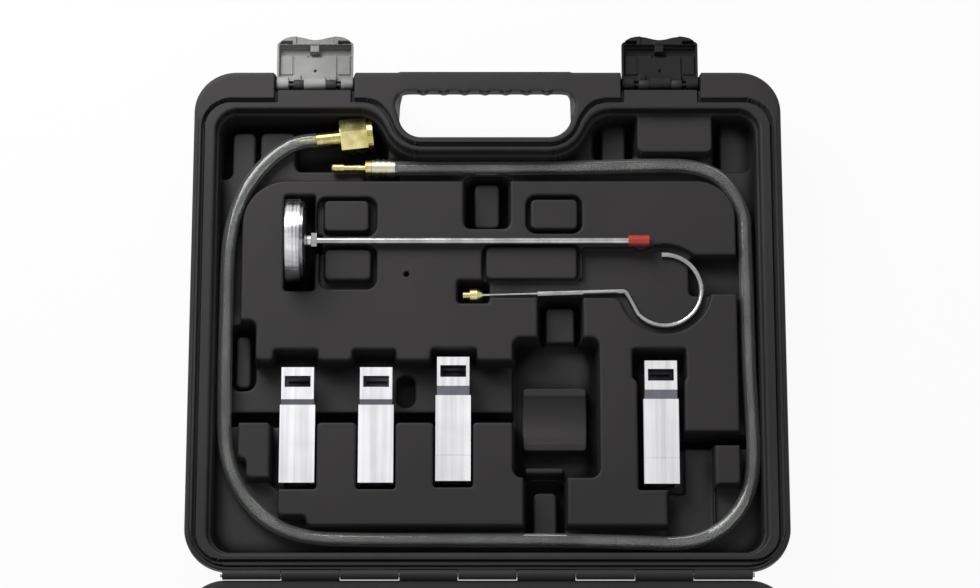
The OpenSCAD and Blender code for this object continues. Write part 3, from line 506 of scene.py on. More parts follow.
def slot_outline(to_edge=False, n=8):
    """Handle slot: two arcs at each end; run out past the handle side where asked."""
    side = arc(SLOT_W / 2 - 15, 13 - SLOT_H / 2, 13, -90, -15.7, n)
    top = arc(SLOT_W / 2 - 8.5, SLOT_H / 2 - 8.5, 8.5, -15.7, 0 if to_edge else 90, n)
    half = np.concatenate([side, top])
    if to_edge:
        half = np.concatenate([half, [[SLOT_W / 2, CASE_D - SLOT_Y + 20]]])
    return np.concatenate([half, half[::-1] * [-1, 1]]) + [SLOT_X, SLOT_Y]


# ---- heights of the tray and the lid --------------------------------------------------------


def carve(height, sd, floor, top_r=1.2, low_r=1.6, slope=13.0):
    """Sinks the surface to floor inside a shape: a quarter circle over the edge, a steep wall and
    a quarter circle at its foot."""
    into = -sd
    lip = np.clip(into / top_r + 1, 0, 1)
    wall = height - top_r * (1 - np.sqrt(1 - lip**2)) - slope * np.maximum(into, 0)
    reach = np.maximum(height - top_r - floor - low_r, 0) / slope
    foot = np.clip(1 - (into - reach) / low_r, 0, 1)
    return np.minimum(height, np.maximum(wall, floor + low_r * (1 - np.sqrt(1 - foot**2))))


def swell(height, sd, top, top_r=1.0, low_r=0.8):
    """Raises the surface to top inside a shape, with the same rounding."""
    return -carve(-height, sd, -top, low_r, top_r)


def guard_sd(x, y):
    """Distance to the handle slot run out past the handle side."""
    return polygon_sd(x, y, slot_outline(to_edge=True, n=5))


def cavity_sd(x, y, guard, inset=0.0):
    """The hollow inside the walls: a rectangle less the wall round the handle slot."""
    box = box_sd(x, y, -CASE_W / 2 + WALL_SIDE + inset, WALL_BACK + inset,
                 CASE_W / 2 - WALL_SIDE - inset, CASE_D - WALL_FRONT - inset, 13 - inset)
    return cut(box, guard - SLOT_GUARD - inset, 14)


def ledge_sd(x, y, guard):
    """The lowered ledge inside the outer rim band: a rectangle less a narrow band round the slot."""
    box = box_sd(x, y, -CASE_W / 2 + RIM_SIDE, RIM_SIDE, CASE_W / 2 - RIM_SIDE,
                 CASE_D - RIM_FRONT, 17)
    return cut(box, guard - SLOT_GUARD * 0.45, 16)


def notch_sd(x, y, y0, r=0.5):
    """The notches at the two latches, open towards the handle side."""
    half = LATCH_W / 2 + LATCH_CLEAR
    return box_sd(np.abs(x), y, LATCH_X - half, y0, LATCH_X + half, CASE_D + 20, r)


def moat_sd(x, y, x0, y0, x1, y1, gap_x, gap_top, gap_low):
    """A rectangle less the raised pad in it."""
    return cut(box_sd(x, y, x0, y0, x1, y1, 6),
               box_sd(x, y, x0 + gap_x, y0 + gap_low, x1 - gap_x, y1 - gap_top, 3), 1.0)


def union_sd(x, y, boxes, k=3.0):
    """Union of boxes (x0, y0, x1, y1, corner radius)."""
    total = box_sd(x, y, *boxes[0])
    for b in boxes[1:]:
        total = join(total, box_sd(x, y, *b), k)
    return total


FIELD_X0, FIELD_X1, FIELD_Y0, FIELD_Y1 = -141.3, 143.0, 27.2, 230.0
PAST = 6.0        # how far a floor runs on past the field's edge, into the channel
FAR_BLOCK = (86.7, 247.4, 130.6, 285, 4)

# Floors of the tray as rectangles: x0, y0, x1, y1 and the corners' radius.
CHANNEL_CORNERS = [
    (FIELD_X0 - PAST, FIELD_Y0 - PAST, -118, 54.6, 3), (128.5, FIELD_Y0 - PAST, FIELD_X1 + PAST, 51, 3),
    (FIELD_X0 - PAST, 40, -136.5, 66, 3), (-124, FIELD_Y0 - PAST, -102, 33, 3)]
PROBE_GROOVES = [(-3, 160.2, 86, 171, 2), (54, 161, 86, 190.4, 3)]
MIDDLE_FLOORS = [
    (-17.5, 156.8, 1, 170.4, 2), (-13.6, 201.4, 13, FIELD_Y1 + PAST, 4), (28.8, 134, 54.7, 162, 2),
    (20.5, FIELD_Y0 - PAST, 44.9, 58, 4), (116, 162.4, FIELD_X1 + PAST, 185.2, 3),
    (104, FIELD_Y0 - PAST, 128.9, 74.5, 2), (101.6, FIELD_Y0 - PAST, 110, 47, 2),
    (61, 245, 86, 280, 4), (131, 238.5, 153, 280, 4), (-72.2, 232.5, -51.7, 246.5, 2)]
CLAMP_SIDE_ROOM = (1.1, 1.1, 1.1, 3.4)
CLAMP_SLOTS = [(x - 10 - side, end - 3.4, x + 10 + side, end + long + 3, 1.5)
               for x, end, long, side in zip(CLAMP_X, CLAMP_END, CLAMP_LONG, CLAMP_SIDE_ROOM)]
TERRACE_FLOORS = [
    (-123.4, 51.4, -100, 96, 3), (-148, 86.8, 16, 122.9, 2), (-148, 108.3, -132.4, 146.5, 4),
    (-122.2, 110, -96.7, 129.4, 2), (-77.2, 110, -52.2, 129.4, 2), (-32.2, 110, -6, 130, 2),
    (82.6, 112, 113.3, 130, 2)]
CORNER_WELLS = [(-112, 239, -58, 280, 4), (-160, 262.8, -80, 280, 4), (-160, 234.5, -148.6, 280, 4),
                (-135.4, 240, -132.4, 270, 1)]
NARROW_WELLS = [(110.4, 73.6, FIELD_X1 + 5, 81.2, 1), (-147, 87.4, 15, 95.5, 1),
                (-52.2, 99, -41.5, 117.8, 5)]
EMPTY_POCKET = (14.4, 54.8, 63.7, 136.5, 5)
DIAL_POCKET = [(HEAD_X - 1.6, STEM_Y - 28.6, HEAD_X + 16.3, STEM_Y + 28.6, 2),
               (HEAD_X + 14, STEM_Y - 6, HEAD_X + 20.5, STEM_Y + 6, 2)]
CRADLE, CRADLE_STEP = (19.8, 72, 57.2, 110, 3), (20.8, 58.4, 43.8, 63, 2)
CRADLE_R, CRADLE_Y = 24.0, 91.0
RING_ROOM = 26.6
PEG_HOLE_X, PEG_HOLE_Y, PEG_HOLE_R = -46.5, 174.0, 1.5

# Moats round raised pads: a rectangle and the moat's width at the sides, towards the handle and
# towards the hinge. A width below 0 leaves that side of the pad open.
SHALLOW_MOATS = [(-98.8, 196.6, -63.9, 220.1, 4.6, 2, 3), (-97, 165, -63.6, 191.2, 3.4, 2.4, 5.6),
                 (22.2, 198.4, 54.6, 221.3, 2.7, 2.4, 2.6)]
PROBE_MOAT = (-3.2, 167.3, 53.8, 192.4, 2.4, 2.2, 3.6)
DEEP_MOATS = [
    (61.6, 245.6, 85.4, 279, 5, 10, -8), (131.6, 235, 160, 279, 4, 9, -6),
    (-13, 202, 12.4, FIELD_Y1 + 5, 5.4, 3, 3), (29.4, 134.6, 54.1, 161.4, 4, 4, -6),
    (21.1, FIELD_Y0 - 5, 44.3, 57.4, 5, 9, -6), (-147.4, 108.9, -133, 145.9, 3, 5, 1.6)]


def field_sd(x, y):
    """Raised field of the tray with four corner radii, and the block in the far right corner."""
    mid_x, mid_y = (FIELD_X0 + FIELD_X1) / 2, (FIELD_Y0 + FIELD_Y1) / 2
    r = np.where(y > mid_y, np.where(x > mid_x, 22.0, 26.0), 4.0)
    return np.minimum(box_sd(x, y, FIELD_X0, FIELD_Y0, FIELD_X1, FIELD_Y1, r),
                      box_sd(x, y, *FAR_BLOCK))


def tray_rim(x, y, guard):
    """Rim of the tray: the ledge inside it, a fine groove along the ledge's edge, and the notches
    at the latches."""
    h = np.full(x.shape, HALF_H)
    ledge = np.minimum(ledge_sd(x, y, guard), notch_sd(x, y, CASE_D - RIM_FRONT - 4))
    h = carve(h, ledge, HALF_H - 1.5, 0.5, 0.4)
    h = carve(h, np.maximum(ledge, -ledge - 1.7), HALF_H - 3.8, 0.3, 0.3, 30)
    return carve(h, notch_sd(x, y, LATCH_Y - 4.6), LATCH_Z - 6.4, 0.4, 0.8)


def tray_height(x, y):
    """Surface of the tray seen from above, floor by floor from the shallowest. A floor keeps to
    the shelf inside the wall, and each deeper one starts a little further in."""
    guard = guard_sd(x, y)
    shelf = cavity_sd(x, y, guard, SHELF)
    h = carve(tray_rim(x, y, guard), cavity_sd(x, y, guard), FIELD_Z, 1.6, 1.2)

    def sink(h, sd, floor, step=0.0, top_r=1.3, low_r=1.8):
        """Carves a floor that stays step inside the shelf."""
        return carve(h, np.maximum(sd, shelf + step), floor, top_r, low_r)

    channel = cut(shelf, field_sd(x, y), 2)
    h = sink(h, join(channel, union_sd(x, y, CHANNEL_CORNERS), 3), CHANNEL_Z)
    for moat in SHALLOW_MOATS:
        h = sink(h, moat_sd(x, y, *moat), MOAT_Z, 0.1, 1.3, 1.0)
    ring = np.hypot(x - RING_X, y - RING_Y) - RING_ROOM
    groove = join(ring, union_sd(x, y, PROBE_GROOVES, 2), 4)
    h = sink(h, np.minimum(groove, moat_sd(x, y, *PROBE_MOAT)), PROBE_Z, 0.2, 1.3, 1.2)
    h = sink(h, union_sd(x, y, MIDDLE_FLOORS), MID_Z, 0.4, 1.8, 2.0)
    h = sink(h, union_sd(x, y, CLAMP_SLOTS + TERRACE_FLOORS), CLAMP_Z, 0.5, 1.6, 1.4)
    wells = np.minimum(union_sd(x, y, CORNER_WELLS, 4), union_sd(x, y, NARROW_WELLS, 1))
    for moat in DEEP_MOATS:
        wells = np.minimum(wells, moat_sd(x, y, *moat))
    h = sink(h, wells, WELL_Z, 0.7, 1.6, 1.6)
    pockets = np.minimum(box_sd(x, y, *EMPTY_POCKET), union_sd(x, y, DIAL_POCKET, 1))
    h = sink(h, pockets, POCKET_Z, 0.8, 1.6, 2.0)
    trough = CRADLE_R + 5 - np.sqrt(np.maximum(CRADLE_R**2 - (y - CRADLE_Y) ** 2, 1))
    h = swell(h, box_sd(x, y, *CRADLE), POCKET_Z + np.minimum(trough, 9.5))
    h = swell(h, box_sd(x, y, *CRADLE_STEP), POCKET_Z + 11.5)
    peg_hole = np.hypot(x - PEG_HOLE_X, y - PEG_HOLE_Y) - PEG_HOLE_R
    return carve(h, peg_hole, FIELD_Z - 5, 0.5, 0.3)


def lid_rim(x, y, guard):
    """Rim of the lid: the tongue that drops in the tray's ledge, and the deep latch notches."""
    h = np.full(x.shape, HALF_H)
    tongue = ledge_sd(x, y, guard) + 0.9
    h = swell(h, np.maximum(tongue, -notch_sd(x, y, CASE_D - RIM_FRONT - 5)), HALF_H + 1.1, 0.5, 0.3)
    return carve(h, notch_sd(x, y, LATCH_Y - 5.2) - 0.6, HALF_H - 24.2, 0.4, 0.6, 60)


def lid_height(x, y):
    """Surface of the lid seen from above where it lies open."""
    guard = guard_sd(x, y)
    h = carve(lid_rim(x, y, guard), cavity_sd(x, y, guard), LID_FLOOR_Z, 1.6, 5.0)
    pad = np.maximum(box_sd(x, y, -146, 21, 146, 262, 12), -(guard - SLOT_GUARD - 11))
    return swell(h, pad, LID_FLOOR_Z + 1, 0.8, 0.6)


# ---- the two halves -------------------------------------------------------------------------

WALL_R = 2.4       # rounding of the rim's outer edge
SLOT_R = 2.2       # rounding of the slot's edge
SURFACE_X = 168.3  # the surface's grid ends here, under the rolled edge
ROOM_HALF = SLOT_W / 2 - 2


def half_side(points, lid):
    """Turns a half's points from the tray's side of the hinge to the lid's, where lid is set."""
    if lid:
        points = points * [1, -1, 1] + [0, -HINGE_GAP, 0]
    return points


def bar_floor(x, y):
    """Underside of the half: 0, or the underside of the handle bar where a hand goes in."""
    into = np.minimum(ROOM_HALF - np.abs(x - SLOT_X), y - SLOT_Y)
    bar_y, bar_z = SLOT_Y + SLOT_H / 2, HALF_H - HANDLE_T
    under = np.interp(y, [bar_y - 1.2, bar_y + 4, CASE_D - 4, CASE_D + 5],
                      [bar_z + 7, bar_z, bar_z, bar_z + 9])
    return under * np.clip(into / 1.5 + 0.5, 0, 1)


def soften(h, n):
    """Mean height of the square of 2 n + 1 cells round each point."""
    for axis in (0, 1):
        total = np.cumsum(np.pad(h, [(n + 1, n) if k == axis else (0, 0) for k in (0, 1)], "edge"), axis)
        low, high = [slice(None)] * 2, [slice(None)] * 2
        low[axis], high[axis] = slice(None, -2 * n - 1), slice(2 * n + 1, None)
        h = (total[tuple(high)] - total[tuple(low)]) / (2 * n + 1)
    return h


def painted_shade_of(h, upright, step, floor):
    """Painted shade of a point: how deep it lies among its neighbours, 0 on open ground to 1 in a narrow or
    deep hollow; a steep wall, and ground below floor, are painted as shaded too."""
    among = soften(soften(h, round(8 / step)), round(5 / step)) - h
    steep = np.clip((0.6 - upright) / 0.3, 0, 1) * 0.8
    return np.clip(np.maximum(np.maximum(among / 6.0 - 0.1, steep), (floor - h) / 2.0), 0, 1)


def surface_tiles(name, height, lid, body, step, range_y, tiles, floor):
    """The half's upper surface, height(x, y) on a grid of that step, as tiles of one grid. Its normals come
    from the slope. Its points carry painted shade for narrow or deep hollows, steep walls and ground lower
    than floor."""
    xs = np.arange(-SURFACE_X, SURFACE_X + step / 2, step)
    ys = np.arange(range_y[0], range_y[1] + step / 2, step)
    x, y = np.meshgrid(xs, ys, indexing="ij")
    h = height(x, y)
    d = 0.2
    slope_x = (height(x + d, y) - height(x - d, y)) / (2 * d)
    slope_y = (height(x, y + d) - height(x, y - d)) / (2 * d)
    normals = np.stack([-slope_x, -slope_y, np.ones_like(h)], axis=-1)
    normals /= np.linalg.norm(normals, axis=-1, keepdims=True)
    points = np.stack([x, y, h], axis=-1)
    keep = (box_sd(x, y, -CASE_W / 2, 0, CASE_W / 2, CASE_D, CORNER_R) < -WALL_R - 0.3)
    keep &= polygon_sd(x, y, slot_outline(n=10)) > SLOT_R + 0.3
    # Painted shade for hollows, steep walls and deep ground, which the case's material reads
    painted_shade = painted_shade_of(h, normals[..., 2], step, floor)
    if lid:
        points, normals = half_side(points, lid), normals * [1, -1, 1]
    pieces = []
    rows, columns = (np.linspace(0, count - 1, n + 1).astype(int) for count, n in zip(h.shape, tiles))
    for i in range(tiles[0]):
        for j in range(tiles[1]):
            part = np.s_[rows[i]:rows[i + 1] + 1, columns[j]:columns[j + 1] + 1]
            faces = quads(*h[part].shape)
            faces = faces[keep[part].reshape(-1)[faces].all(axis=1)]
            if lid:
                faces = faces[:, ::-1]
            used, faces = used_only(faces)
            piece = make_piece(f"{name}_{i + 1}{j + 1}", points[part].reshape(-1, 3)[used], faces, body, CASE,
                               normals[part].reshape(-1, 3)[used])
            # The painted shade goes on each point as an attribute
            depth = piece.data.attributes.new("painted_shade", "FLOAT", "POINT")
            depth.data.foreach_set("value", painted_shade[part].reshape(-1)[used].astype(np.float32))
            pieces.append(piece)
    return pieces


def ring_wall(name, path, outward, profile, draft, lid, body, inward):
    """A profile of (distance from the path, height) carried round a closed outline, leaning in by
    draft at the foot. The height is squeezed up where the handle bar has no wall below it, and kept
    just under the rim's own height, so that it dips at the latch notches."""
    d = np.array([p[0] for p in profile], float)[None, :]
    z = np.array([p[1] for p in profile], float)[None, :]
    if draft:
        # The edge is rounded less at the hinge, and the foot is short where a hand goes in
        hinge_side = 0.3 + 0.7 * np.clip(path[:, 1:2] / 6, 0, 1)
        d = np.where((d > -WALL_R - 0.01) & (z > HALF_H - WALL_R), d * hinge_side, d)
        d = np.where(bar_floor(path[:, 0:1], path[:, 1:2]) > 0, np.maximum(d, -4.5), d)
    low = bar_floor(path[:, 0:1] + outward[:, 0:1] * d, path[:, 1:2] + outward[:, 1:2] * d)
    h = low + z * (HALF_H - low) / HALF_H
    lean = draft * np.clip(1 - h / DRAFT_TOP, 0, 1)
    x = path[:, 0:1] + outward[:, 0:1] * (d - lean)
    y = path[:, 1:2] + outward[:, 1:2] * (d - lean)
    if not draft:
        # The slot's foot stays behind the outer wall, which leans in
        y = np.minimum(y, CASE_D - 2.5 - DRAFT_IN * np.clip(1 - h / DRAFT_TOP, 0, 1))
    rim = (lid_rim if lid else tray_rim)(x, y, guard_sd(x, y))
    h = np.minimum(h, rim - 0.03)
    points = half_side(np.stack([x, y, h], axis=-1).reshape(-1, 3), lid)
    faces = quads(len(path), d.shape[1], closed_rows=True)
    if inward != lid:
        faces = faces[:, ::-1]
    return make_piece(name, points, faces, body, CASE)


def walk(corners, step):
    """Points every step along a closed outline, with the outward normals of its smoothed run."""
    loop = np.concatenate([corners, corners[:1]])
    gone = np.concatenate([[0], np.cumsum(np.hypot(*np.diff(loop, axis=0).T))])
    s = np.arange(0, gone[-1], step)
    path = np.stack([np.interp(s, gone, loop[:, k]) for k in (0, 1)], axis=1)
    along = np.roll(path, -1, axis=0) - np.roll(path, 1, axis=0)
    along /= np.linalg.norm(along, axis=1, keepdims=True)
    return path, np.stack([along[:, 1], -along[:, 0]], axis=1)


def case_outline(n=16):
    """Outline of a half: four corner arcs."""
    w, r = CASE_W / 2, CORNER_R
    return np.concatenate([
        arc(w - r, r, r, -90, 0, n), arc(w - r, CASE_D - r, r, 0, 90, n),
        arc(r - w, CASE_D - r, r, 90, 180, n), arc(r - w, r, r, 180, 270, n)])


def scalloped(path):
    """Small finger scallops along the slot's handle side."""
    x = path[:, 0] - SLOT_X
    bump = np.maximum(np.cos(x / 12.0 * 2 * np.pi), 0) ** 2.0 * 1.1
    ends = np.clip((44 - np.abs(x)) / 4, 0, 1)
    top = np.clip((path[:, 1] - SLOT_Y - SLOT_H / 2 + 1.5) / 1.5, 0, 1)
    return path - np.stack([0 * x, bump * ends * top], axis=1)


EDGE_TURNS = np.radians((18, 36, 54, 72, 90))


def rolled_edge(side, r):
    """Profile points of a quarter circle over a wall's upper edge, towards the side."""
    return [(side * r * (1 - math.cos(a)), HALF_H - r + r * math.sin(a)) for a in EDGE_TURNS]


def underside(name, lid, body):
    """Flat underside of a half, a grid that keeps clear of the handle's room and the round foot."""
    x, y = np.meshgrid(np.arange(-160, 160.1, 4.0), np.arange(6, 287, 4.0), indexing="ij")
    foot = box_sd(x, y, -CASE_W / 2, 0, CASE_W / 2, CASE_D, CORNER_R) > -DRAFT_IN - 5
    clear = foot | (guard_sd(x, y) < 2)
    faces = quads(*x.shape)
    faces = faces[~clear.reshape(-1)[faces].any(axis=1)][:, ::1 if lid else -1]
    points = half_side(np.stack([x, y, np.full(x.shape, 0.1)], axis=-1).reshape(-1, 3), lid)
    used, faces = used_only(faces)
    return make_piece(name, points[used], faces, body, CASE)


def make_half(lid):
    """Upper surface, outer wall with its pressed line, wall of the handle slot, and underside."""
    side = "lid" if lid else "tray"
    if lid:
        pieces = surface_tiles("lid_surface", lid_height, True, side, 0.9, (0.9, 292.5), (2, 1), -10)
    else:
        pieces = surface_tiles("tray_surface", tray_height, False, side, 0.55, (1.1, 292.6), (2, 2), 13.5)
    foot = [(-14, 0), (-5, 0), (-2.4, 0.5), (-0.9, 1.8), (-0.2, 4), (0, 7)]
    pressed_line = [(0, 20), (-0.7, 20.6), (-0.7, 23.4), (0, 24)]
    outer = foot + pressed_line + [(0, DRAFT_TOP), (0, HALF_H - WALL_R)] + rolled_edge(-1, WALL_R)
    outer += [(-WALL_R - 2.5, HALF_H)]
    pieces.append(ring_wall(side + "_wall", *walk(case_outline(), 1.0), outer, DRAFT_IN, lid, side, False))
    inner = [(9, 0.05), (3, 0.05), (1.2, 0.6), (0.2, 2.2), (0, 4), (0, HALF_H - SLOT_R)]
    inner += rolled_edge(1, SLOT_R) + [(SLOT_R + k, HALF_H) for k in (0.6, 1.2, 1.8, 2.5)]
    path, outward = walk(slot_outline(n=12), 0.6)
    pieces.append(ring_wall(side + "_slot", scalloped(path), outward, inner, 0, lid, side, True))
    pieces.append(underside(side + "_underside", lid, side))
    for piece in pieces:
        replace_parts(piece, "case_" + side)


make_half(False)
make_half(True)

# ---- hinge, lugs and catches ------------------------------------------------------------------

HINGE_LEN, HINGE_N = 296.0, 9
KNUCKLE_R, KNUCKLE_CLEAR = HINGE_GAP / 2 - 0.05, 0.3
LATCH_KNUCKLE_R = 3.0
LUG_X = [side * LATCH_X + t * 9.5 for side in (-1, 1) for t in (-1, 1)]


def eased(x0, x1, r=0.3, scale=0.9):
    """Stations of a bar whose two ends are drawn in over r."""
    return [(x0, scale), (x0 + r, 1), (x1 - r, 1), (x1, scale)]


def hinge_knuckles(side):
    """Every second knuckle of the hinge, each with the web that joins it to its half."""
    lid = side == "lid"
    length = HINGE_LEN / HINGE_N
    s = -1 if lid else 1
    barrel = arc(0, 0, KNUCKLE_R, 20, 250, 14)
    web = np.array([[HINGE_GAP / 2 + 0.3, -KNUCKLE_R], [HINGE_GAP / 2 + 0.3, -0.35]])
    section = np.concatenate([barrel, web]) * [s, 1] + [-HINGE_GAP / 2, HINGE_Z]
    starts = [-HINGE_LEN / 2 + k * length + KNUCKLE_CLEAR / 2 for k in range(1 if lid else 0, HINGE_N, 2)]
    points, faces = together([bar_x(section, eased(x, x + length - KNUCKLE_CLEAR, 0.12, 0.95))
                              for x in starts])
    piece = make_piece(side + "_knuckles", points, faces, side, CASE, closed=True)
    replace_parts(piece, "case_" + side)


def latch_lugs():
    """Two lugs under each latch that carry its pin."""
    barrel = arc(0, 0, LATCH_KNUCKLE_R, 0, 180, 12)
    section = np.concatenate([barrel, [[-LATCH_KNUCKLE_R, -6.9], [LATCH_KNUCKLE_R, -6.9]]])
    section = section + [LATCH_Y, LATCH_Z]
    points, faces = together([bar_x(section, eased(x - 3, x + 3)) for x in LUG_X])
    piece = make_piece("tray_lugs", points, faces, "tray", CASE, closed=True)
    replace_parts(piece, "case_tray")


def lid_catches():
    """Ledges on the lid's handle side that the latches hook over."""
    y = -HINGE_GAP - LATCH_Y
    z = HALF_H - 14.8
    section = [[y + 1.3, z - 7], [y + 1.3, z - 0.4], [y + 1.7, z], [y + 5.4, z], [y + 5.4, z - 7]]
    points, faces = together([bar_x(section, eased(x - 7, x + 7)) for x in LUG_X])
    piece = make_piece("lid_catches", points, faces, "lid", CASE, closed=True)
    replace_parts(piece, "case_lid")


hinge_knuckles("tray")
hinge_knuckles("lid")
latch_lugs()
lid_catches()

# ---- the latches ------------------------------------------------------------------------------

PLATE_Z = -2.6       # inner face of the plate, from the pin's height
LIP_V = 24.4         # where the lip at the tip begins, from the pin
LATCH_CELL = 0.3


def latch_top(u, v):
    """Height of a latch's inner face, u across it and v from its pin to its tip."""
    h = np.full(u.shape, PLATE_Z)
    h = swell(h, -box_sd(u, v, -20.7, 2, 20.7, 60, 0.6), 1.0, 0.5, 0.3)
    a = np.abs(u)
    h = swell(h, box_sd(a, v, 13.2, 7.2, 20.3, 19.0, 0.5), PLATE_Z + 0.7, 0.3, 0.2)
    h = swell(h, box_sd(u, v, -12.4, 3, 12.4, 19.0, 0.5), PLATE_Z + 0.9, 0.3, 0.2)
    h = swell(h, box_sd(a, v, 8.3, 1.6, 12.6, 6.6, 0.5), PLATE_Z + 2.6, 0.4, 0.3)
    h = swell(h, LIP_V - v, 1.1, 0.4, 0.3)
    h = carve(h, box_sd(a, v, 13.3, LIP_V + 0.8, 20.6, 27.0, 0.4), -4.2, 0.3, 0.2)
    h = carve(h, box_sd(u, v, -11, LIP_V + 0.8, 11, 40, 0.4), 0.2, 0.4, 0.3)
    h = carve(h, box_sd(u, v, -20.4, 19.6, 20.4, 23.4, 0.4), -4.4, 0.3, 0.2)
    h = swell(h, box_sd(u, v, -3.3, 20, 2.6, 27, 0.4), 0.5, 0.4, 0.3)
    h = carve(h, box_sd(u, v, -4.6, 17.8, 4.6, 19.8, 0.3), -4.2, 0.3, 0.2)
    return carve(h, np.hypot(u, v - 9.4) - 0.8, PLATE_Z - 0.8, 0.2, 0.1)


def latch_parts():
    """Plate with its wavy tip, whose outline is a cosine across the latch, and the three knuckles
    round the pin."""
    across = np.arange(-LATCH_W / 2, LATCH_W / 2 + 0.01, LATCH_CELL)
    u, v = np.meshgrid(across, np.arange(3.4, LATCH_L + 0.01, LATCH_CELL), indexing="ij")
    a = np.abs(u)
    tip = LATCH_L - 2.0 * np.cos(np.pi * np.minimum(a, 19) / 23) ** 2 - 0.11 * np.maximum(a - 16.5, 0) ** 2
    v = np.where(v > LIP_V, LIP_V + (v - LIP_V) * (tip - LIP_V) / (LATCH_L - LIP_V), v)
    edge = np.minimum(np.minimum(LATCH_W / 2 - a, tip - v), 1.4) / 1.4
    under = 1.4 * (1 - np.sqrt(1 - (1 - edge) ** 2)) - 5.0
    parts = [slab(u, v, latch_top(u, v), under)]
    barrel = arc(0, 0, LATCH_KNUCKLE_R, 90, 270, 12)
    section = np.concatenate([barrel, [[5.0, -4.9], [5.0, 0.6], [4.6, 1.2], [3.2, 2.4], [1.6, 2.9]]])
    for x0, x1 in ((-LATCH_W / 2, -15.2), (-6.4, 6.4), (15.2, LATCH_W / 2)):
        parts.append(bar_x(section, eased(x0, x1, 0.4, 0.88)))
    return parts


# The left latch takes the painted sheen, the right one the plain black plastic
for side, name, paint, slot in ((-1, "latch_left", LATCH_PAINTED_SHEEN, "latch_light"),
                                (1, "latch_right", LATCH_DARK, "latch_dark")):
    points, faces = together(latch_parts())
    points = points + [side * LATCH_X, LATCH_Y, LATCH_Z]
    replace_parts(make_piece(name + "_shape", points, faces, name, paint, closed=True), name)

# ---- the hose -------------------------------------------------------------------------------

HOSE_POINTS = [
    (-99.6, 256.5), (-107.6, 255.6), (-116.4, 252.4), (-126, 245.2), (-134, 236), (-141, 224.5),
    (-146, 211.5), (-149, 196), (-150, 178), (-150.2, 145), (-150.2, 110), (-149.6, 84),
    (-147.4, 67), (-142.4, 53), (-134.6, 41), (-124, 31), (-110.6, 24), (-95, 20.8),
    (-70, 19.8), (-20, 19.6), (40, 19.4), (85, 18.2), (104, 17.6), (120, 20),
    (133, 27), (143, 38), (149, 52), (151, 68), (150.8, 88), (149.6, 120),
    (149.2, 160), (148.6, 198), (147.8, 211.5), (141.6, 225.6), (132, 235.4), (118, 240.2),
    (100, 241.2), (50, 239.9), (-30, 239.5), (-67.2, 239.5)]


def smooth_route(corners, steps):
    """Curve through all the points, whose run at a point is that between its neighbours."""
    p = np.array(corners, float)
    a, b = np.vstack([p[:1], p[:-2]]), p[:-1]
    c, d = p[1:], np.vstack([p[2:], p[-1:]])
    t = (np.arange(steps) / steps)[None, :, None]
    a, b, c, d = (v[:, None, :] for v in (a, b, c, d))
    curve = 0.5 * (2 * b + (c - a) * t + (2 * a - 5 * b + 4 * c - d) * t**2
                   + (3 * b - a - 3 * c + d) * t**3)
    return np.vstack([curve.reshape(-1, 2), p[-1:]])


def make_hose():
    """Tube with an outer and an inner wall, closed by a ring face at each end."""
    line = smooth_route(HOSE_POINTS, 6)
    run = np.gradient(line, axis=0)
    tilt = math.radians(UNION_TILT)
    run[0], run[-1] = (-math.cos(tilt), -math.sin(tilt)), (-1, 0)
    run /= np.linalg.norm(run, axis=1, keepdims=True)
    side = np.stack([-run[:, 1], run[:, 0]], axis=1)
    sides = 24
    a = np.linspace(0, 2 * np.pi, sides, endpoint=False)
    rings = []
    for r in (HOSE_OD / 2 - 0.02, HOSE_ID / 2):
        flat = line[:, None, :] + side[:, None, :] * (r * np.cos(a))[None, :, None]
        height = np.broadcast_to(HOSE_Z + r * np.sin(a), flat.shape[:2])
        rings.append(np.concatenate([flat, height[..., None]], axis=-1))
    n = len(line)
    points = np.concatenate([rings[0].reshape(-1, 3), rings[1].reshape(-1, 3)])
    outer = quads(n, sides, closed_columns=True)
    k = np.arange(sides)
    k1 = (k + 1) % sides
    last = (n - 1) * sides
    start = np.stack([k, k1, n * sides + k1, n * sides + k], axis=1)
    finish = np.stack([last + k, last + k1, n * sides + last + k1, n * sides + last + k], axis=1)
    faces = np.concatenate([outer, outer[:, ::-1] + n * sides, start, finish[:, ::-1]])
    hose = make_piece("hose_tube", points, faces, "hose_set", HOSE)
    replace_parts(hose, "hose")


make_hose()

# ---- materials of the pieces that keep their own shape ---------------------------------------

FINISH = {
    "hinge_pin": STEEL, "latch_pin_left": SHADE_STEEL, "latch_pin_right": SHADE_STEEL,
    "union_barb": BRASS, "union_nut": BRASS,
    "union_washer": SEAL, "nozzle": BRASS, "crimp_ferrule": NICKEL, "dial_case": SPUN,
    "dial_bezel": SPUN, "dial_lens": LENS, "dial_face": DIAL, "dial_pointer": POINTER,
    "pointer_spindle": STEEL, "bimetal_coil": BRASS, "stem": CHROME, "calibration_nut": CHROME,
    "tip_cap": RED, "ring_shank": CHROME, "thin_rod": CHROME, "brass_nipple": BRASS,
}
for n in range(4):
    clamp = f"clamp_{n + 1}_"
    FINISH.update({clamp + "upper_jaw": stamped_steel(n), clamp + "lower_jaw": SHADE_STEEL, clamp + "rivet": STEEL})
for name, material in FINISH.items():
    mesh = NODES[name].data
    mesh.materials.clear()
    mesh.materials.append(material)

# ---- floor, light ----------------------------------------------------------------------------


FLOOR_HALF = 6.0


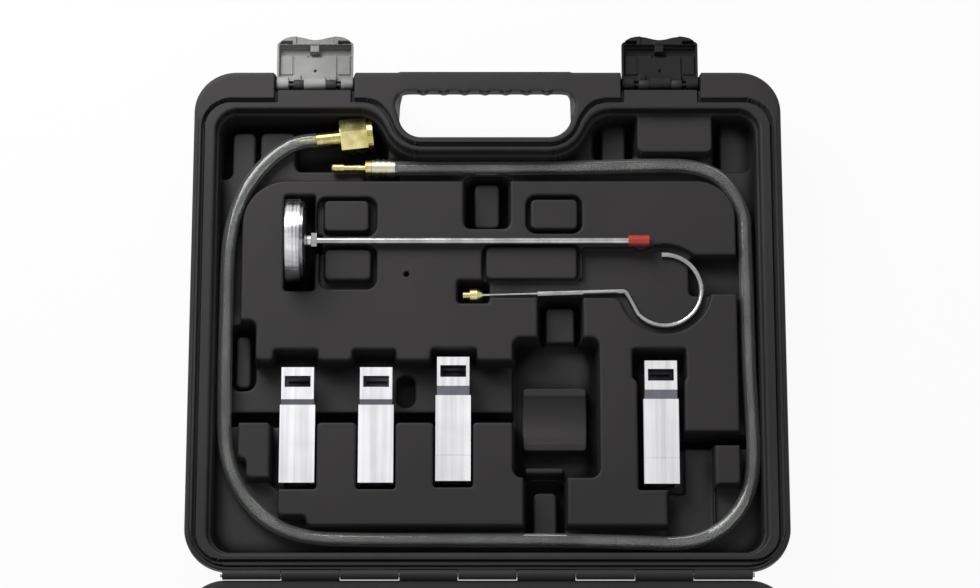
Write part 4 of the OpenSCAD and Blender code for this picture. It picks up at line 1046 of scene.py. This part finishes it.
def make_floor():
    """Pale floor that keeps the shadow; it shows white to the camera and to shiny surfaces."""
    mesh = bpy.data.meshes.new("floor")
    s, z = FLOOR_HALF, CAD_BOX[0][2] - 0.0005
    mesh.from_pydata([(-s, -s, z), (s, -s, z), (s, s, z), (-s, s, z)], [], [(0, 1, 2, 3)])
    floor = bpy.data.objects.new("floor", mesh)
    bpy.context.scene.collection.objects.link(floor)
    p = Paint("floor", Roughness=0.9)
    p.feed("Base Color", p.mix(p.noise(3), (0.82, 0.82, 0.82), (0.86, 0.86, 0.86)))
    rays = p.tree.nodes.new("ShaderNodeLightPath")
    seen = Sock(p, rays.outputs["Is Camera Ray"]) + Sock(p, rays.outputs["Is Glossy Ray"])
    seen = (seen + Sock(p, rays.outputs["Is Transmission Ray"])).clamp()
    glow = p.node("ShaderNodeEmission", {"Color": (1, 1, 1, 1), "Strength": 1.0})
    both = p.node("ShaderNodeMixShader", [seen * 0.94, Sock(p, p.shader.outputs[0]), glow])
    p.tree.links.new(both.socket, p.end.inputs["Surface"])
    mesh.materials.append(p.material)


WORLD_LIGHT = 0.2


def make_world():
    """White to the camera, to shine and through clear pieces; the light that it gives the object
    is a plain grey."""
    world = bpy.data.worlds.new("studio")
    bpy.context.scene.world = world
    world.use_nodes = True
    tree = world.node_tree
    tree.nodes.clear()
    rays = tree.nodes.new("ShaderNodeLightPath")
    back = tree.nodes.new("ShaderNodeBackground")
    out = tree.nodes.new("ShaderNodeOutputWorld")
    total = rays.outputs["Is Camera Ray"]
    for name in ("Is Glossy Ray", "Is Transmission Ray"):
        add = tree.nodes.new("ShaderNodeMath")
        add.operation = "MAXIMUM"
        tree.links.new(total, add.inputs[0])
        tree.links.new(rays.outputs[name], add.inputs[1])
        total = add.outputs[0]
    scale = tree.nodes.new("ShaderNodeMapRange")
    tree.links.new(total, scale.inputs["Value"])
    scale.inputs["To Min"].default_value = WORLD_LIGHT
    scale.inputs["To Max"].default_value = 1.0
    tree.links.new(scale.outputs[0], back.inputs["Strength"])
    tree.links.new(back.outputs[0], out.inputs["Surface"])


def make_lamp(name, at, aim, size, power):
    """Square soft light at a place, turned to aim."""
    data = bpy.data.lights.new(name, "AREA")
    data.size, data.energy = size, power
    lamp = bpy.data.objects.new(name, data)
    lamp.location = at
    away = np.array(at) - np.array(aim)
    flat = math.hypot(away[0], away[1])
    lamp.rotation_euler = (math.atan2(flat, away[2]), 0, math.atan2(away[0], -away[1]))
    bpy.context.scene.collection.objects.link(lamp)


make_floor()
make_world()
make_lamp("key", (-0.40, 0.78, 0.66), (0, 0.1, 0), 0.6, 9.5)
make_lamp("fill", (0.5, -1.0, 1.5), (0, 0.1, 0), 1.2, 3)
bpy.context.scene.view_settings.view_transform = "Standard"
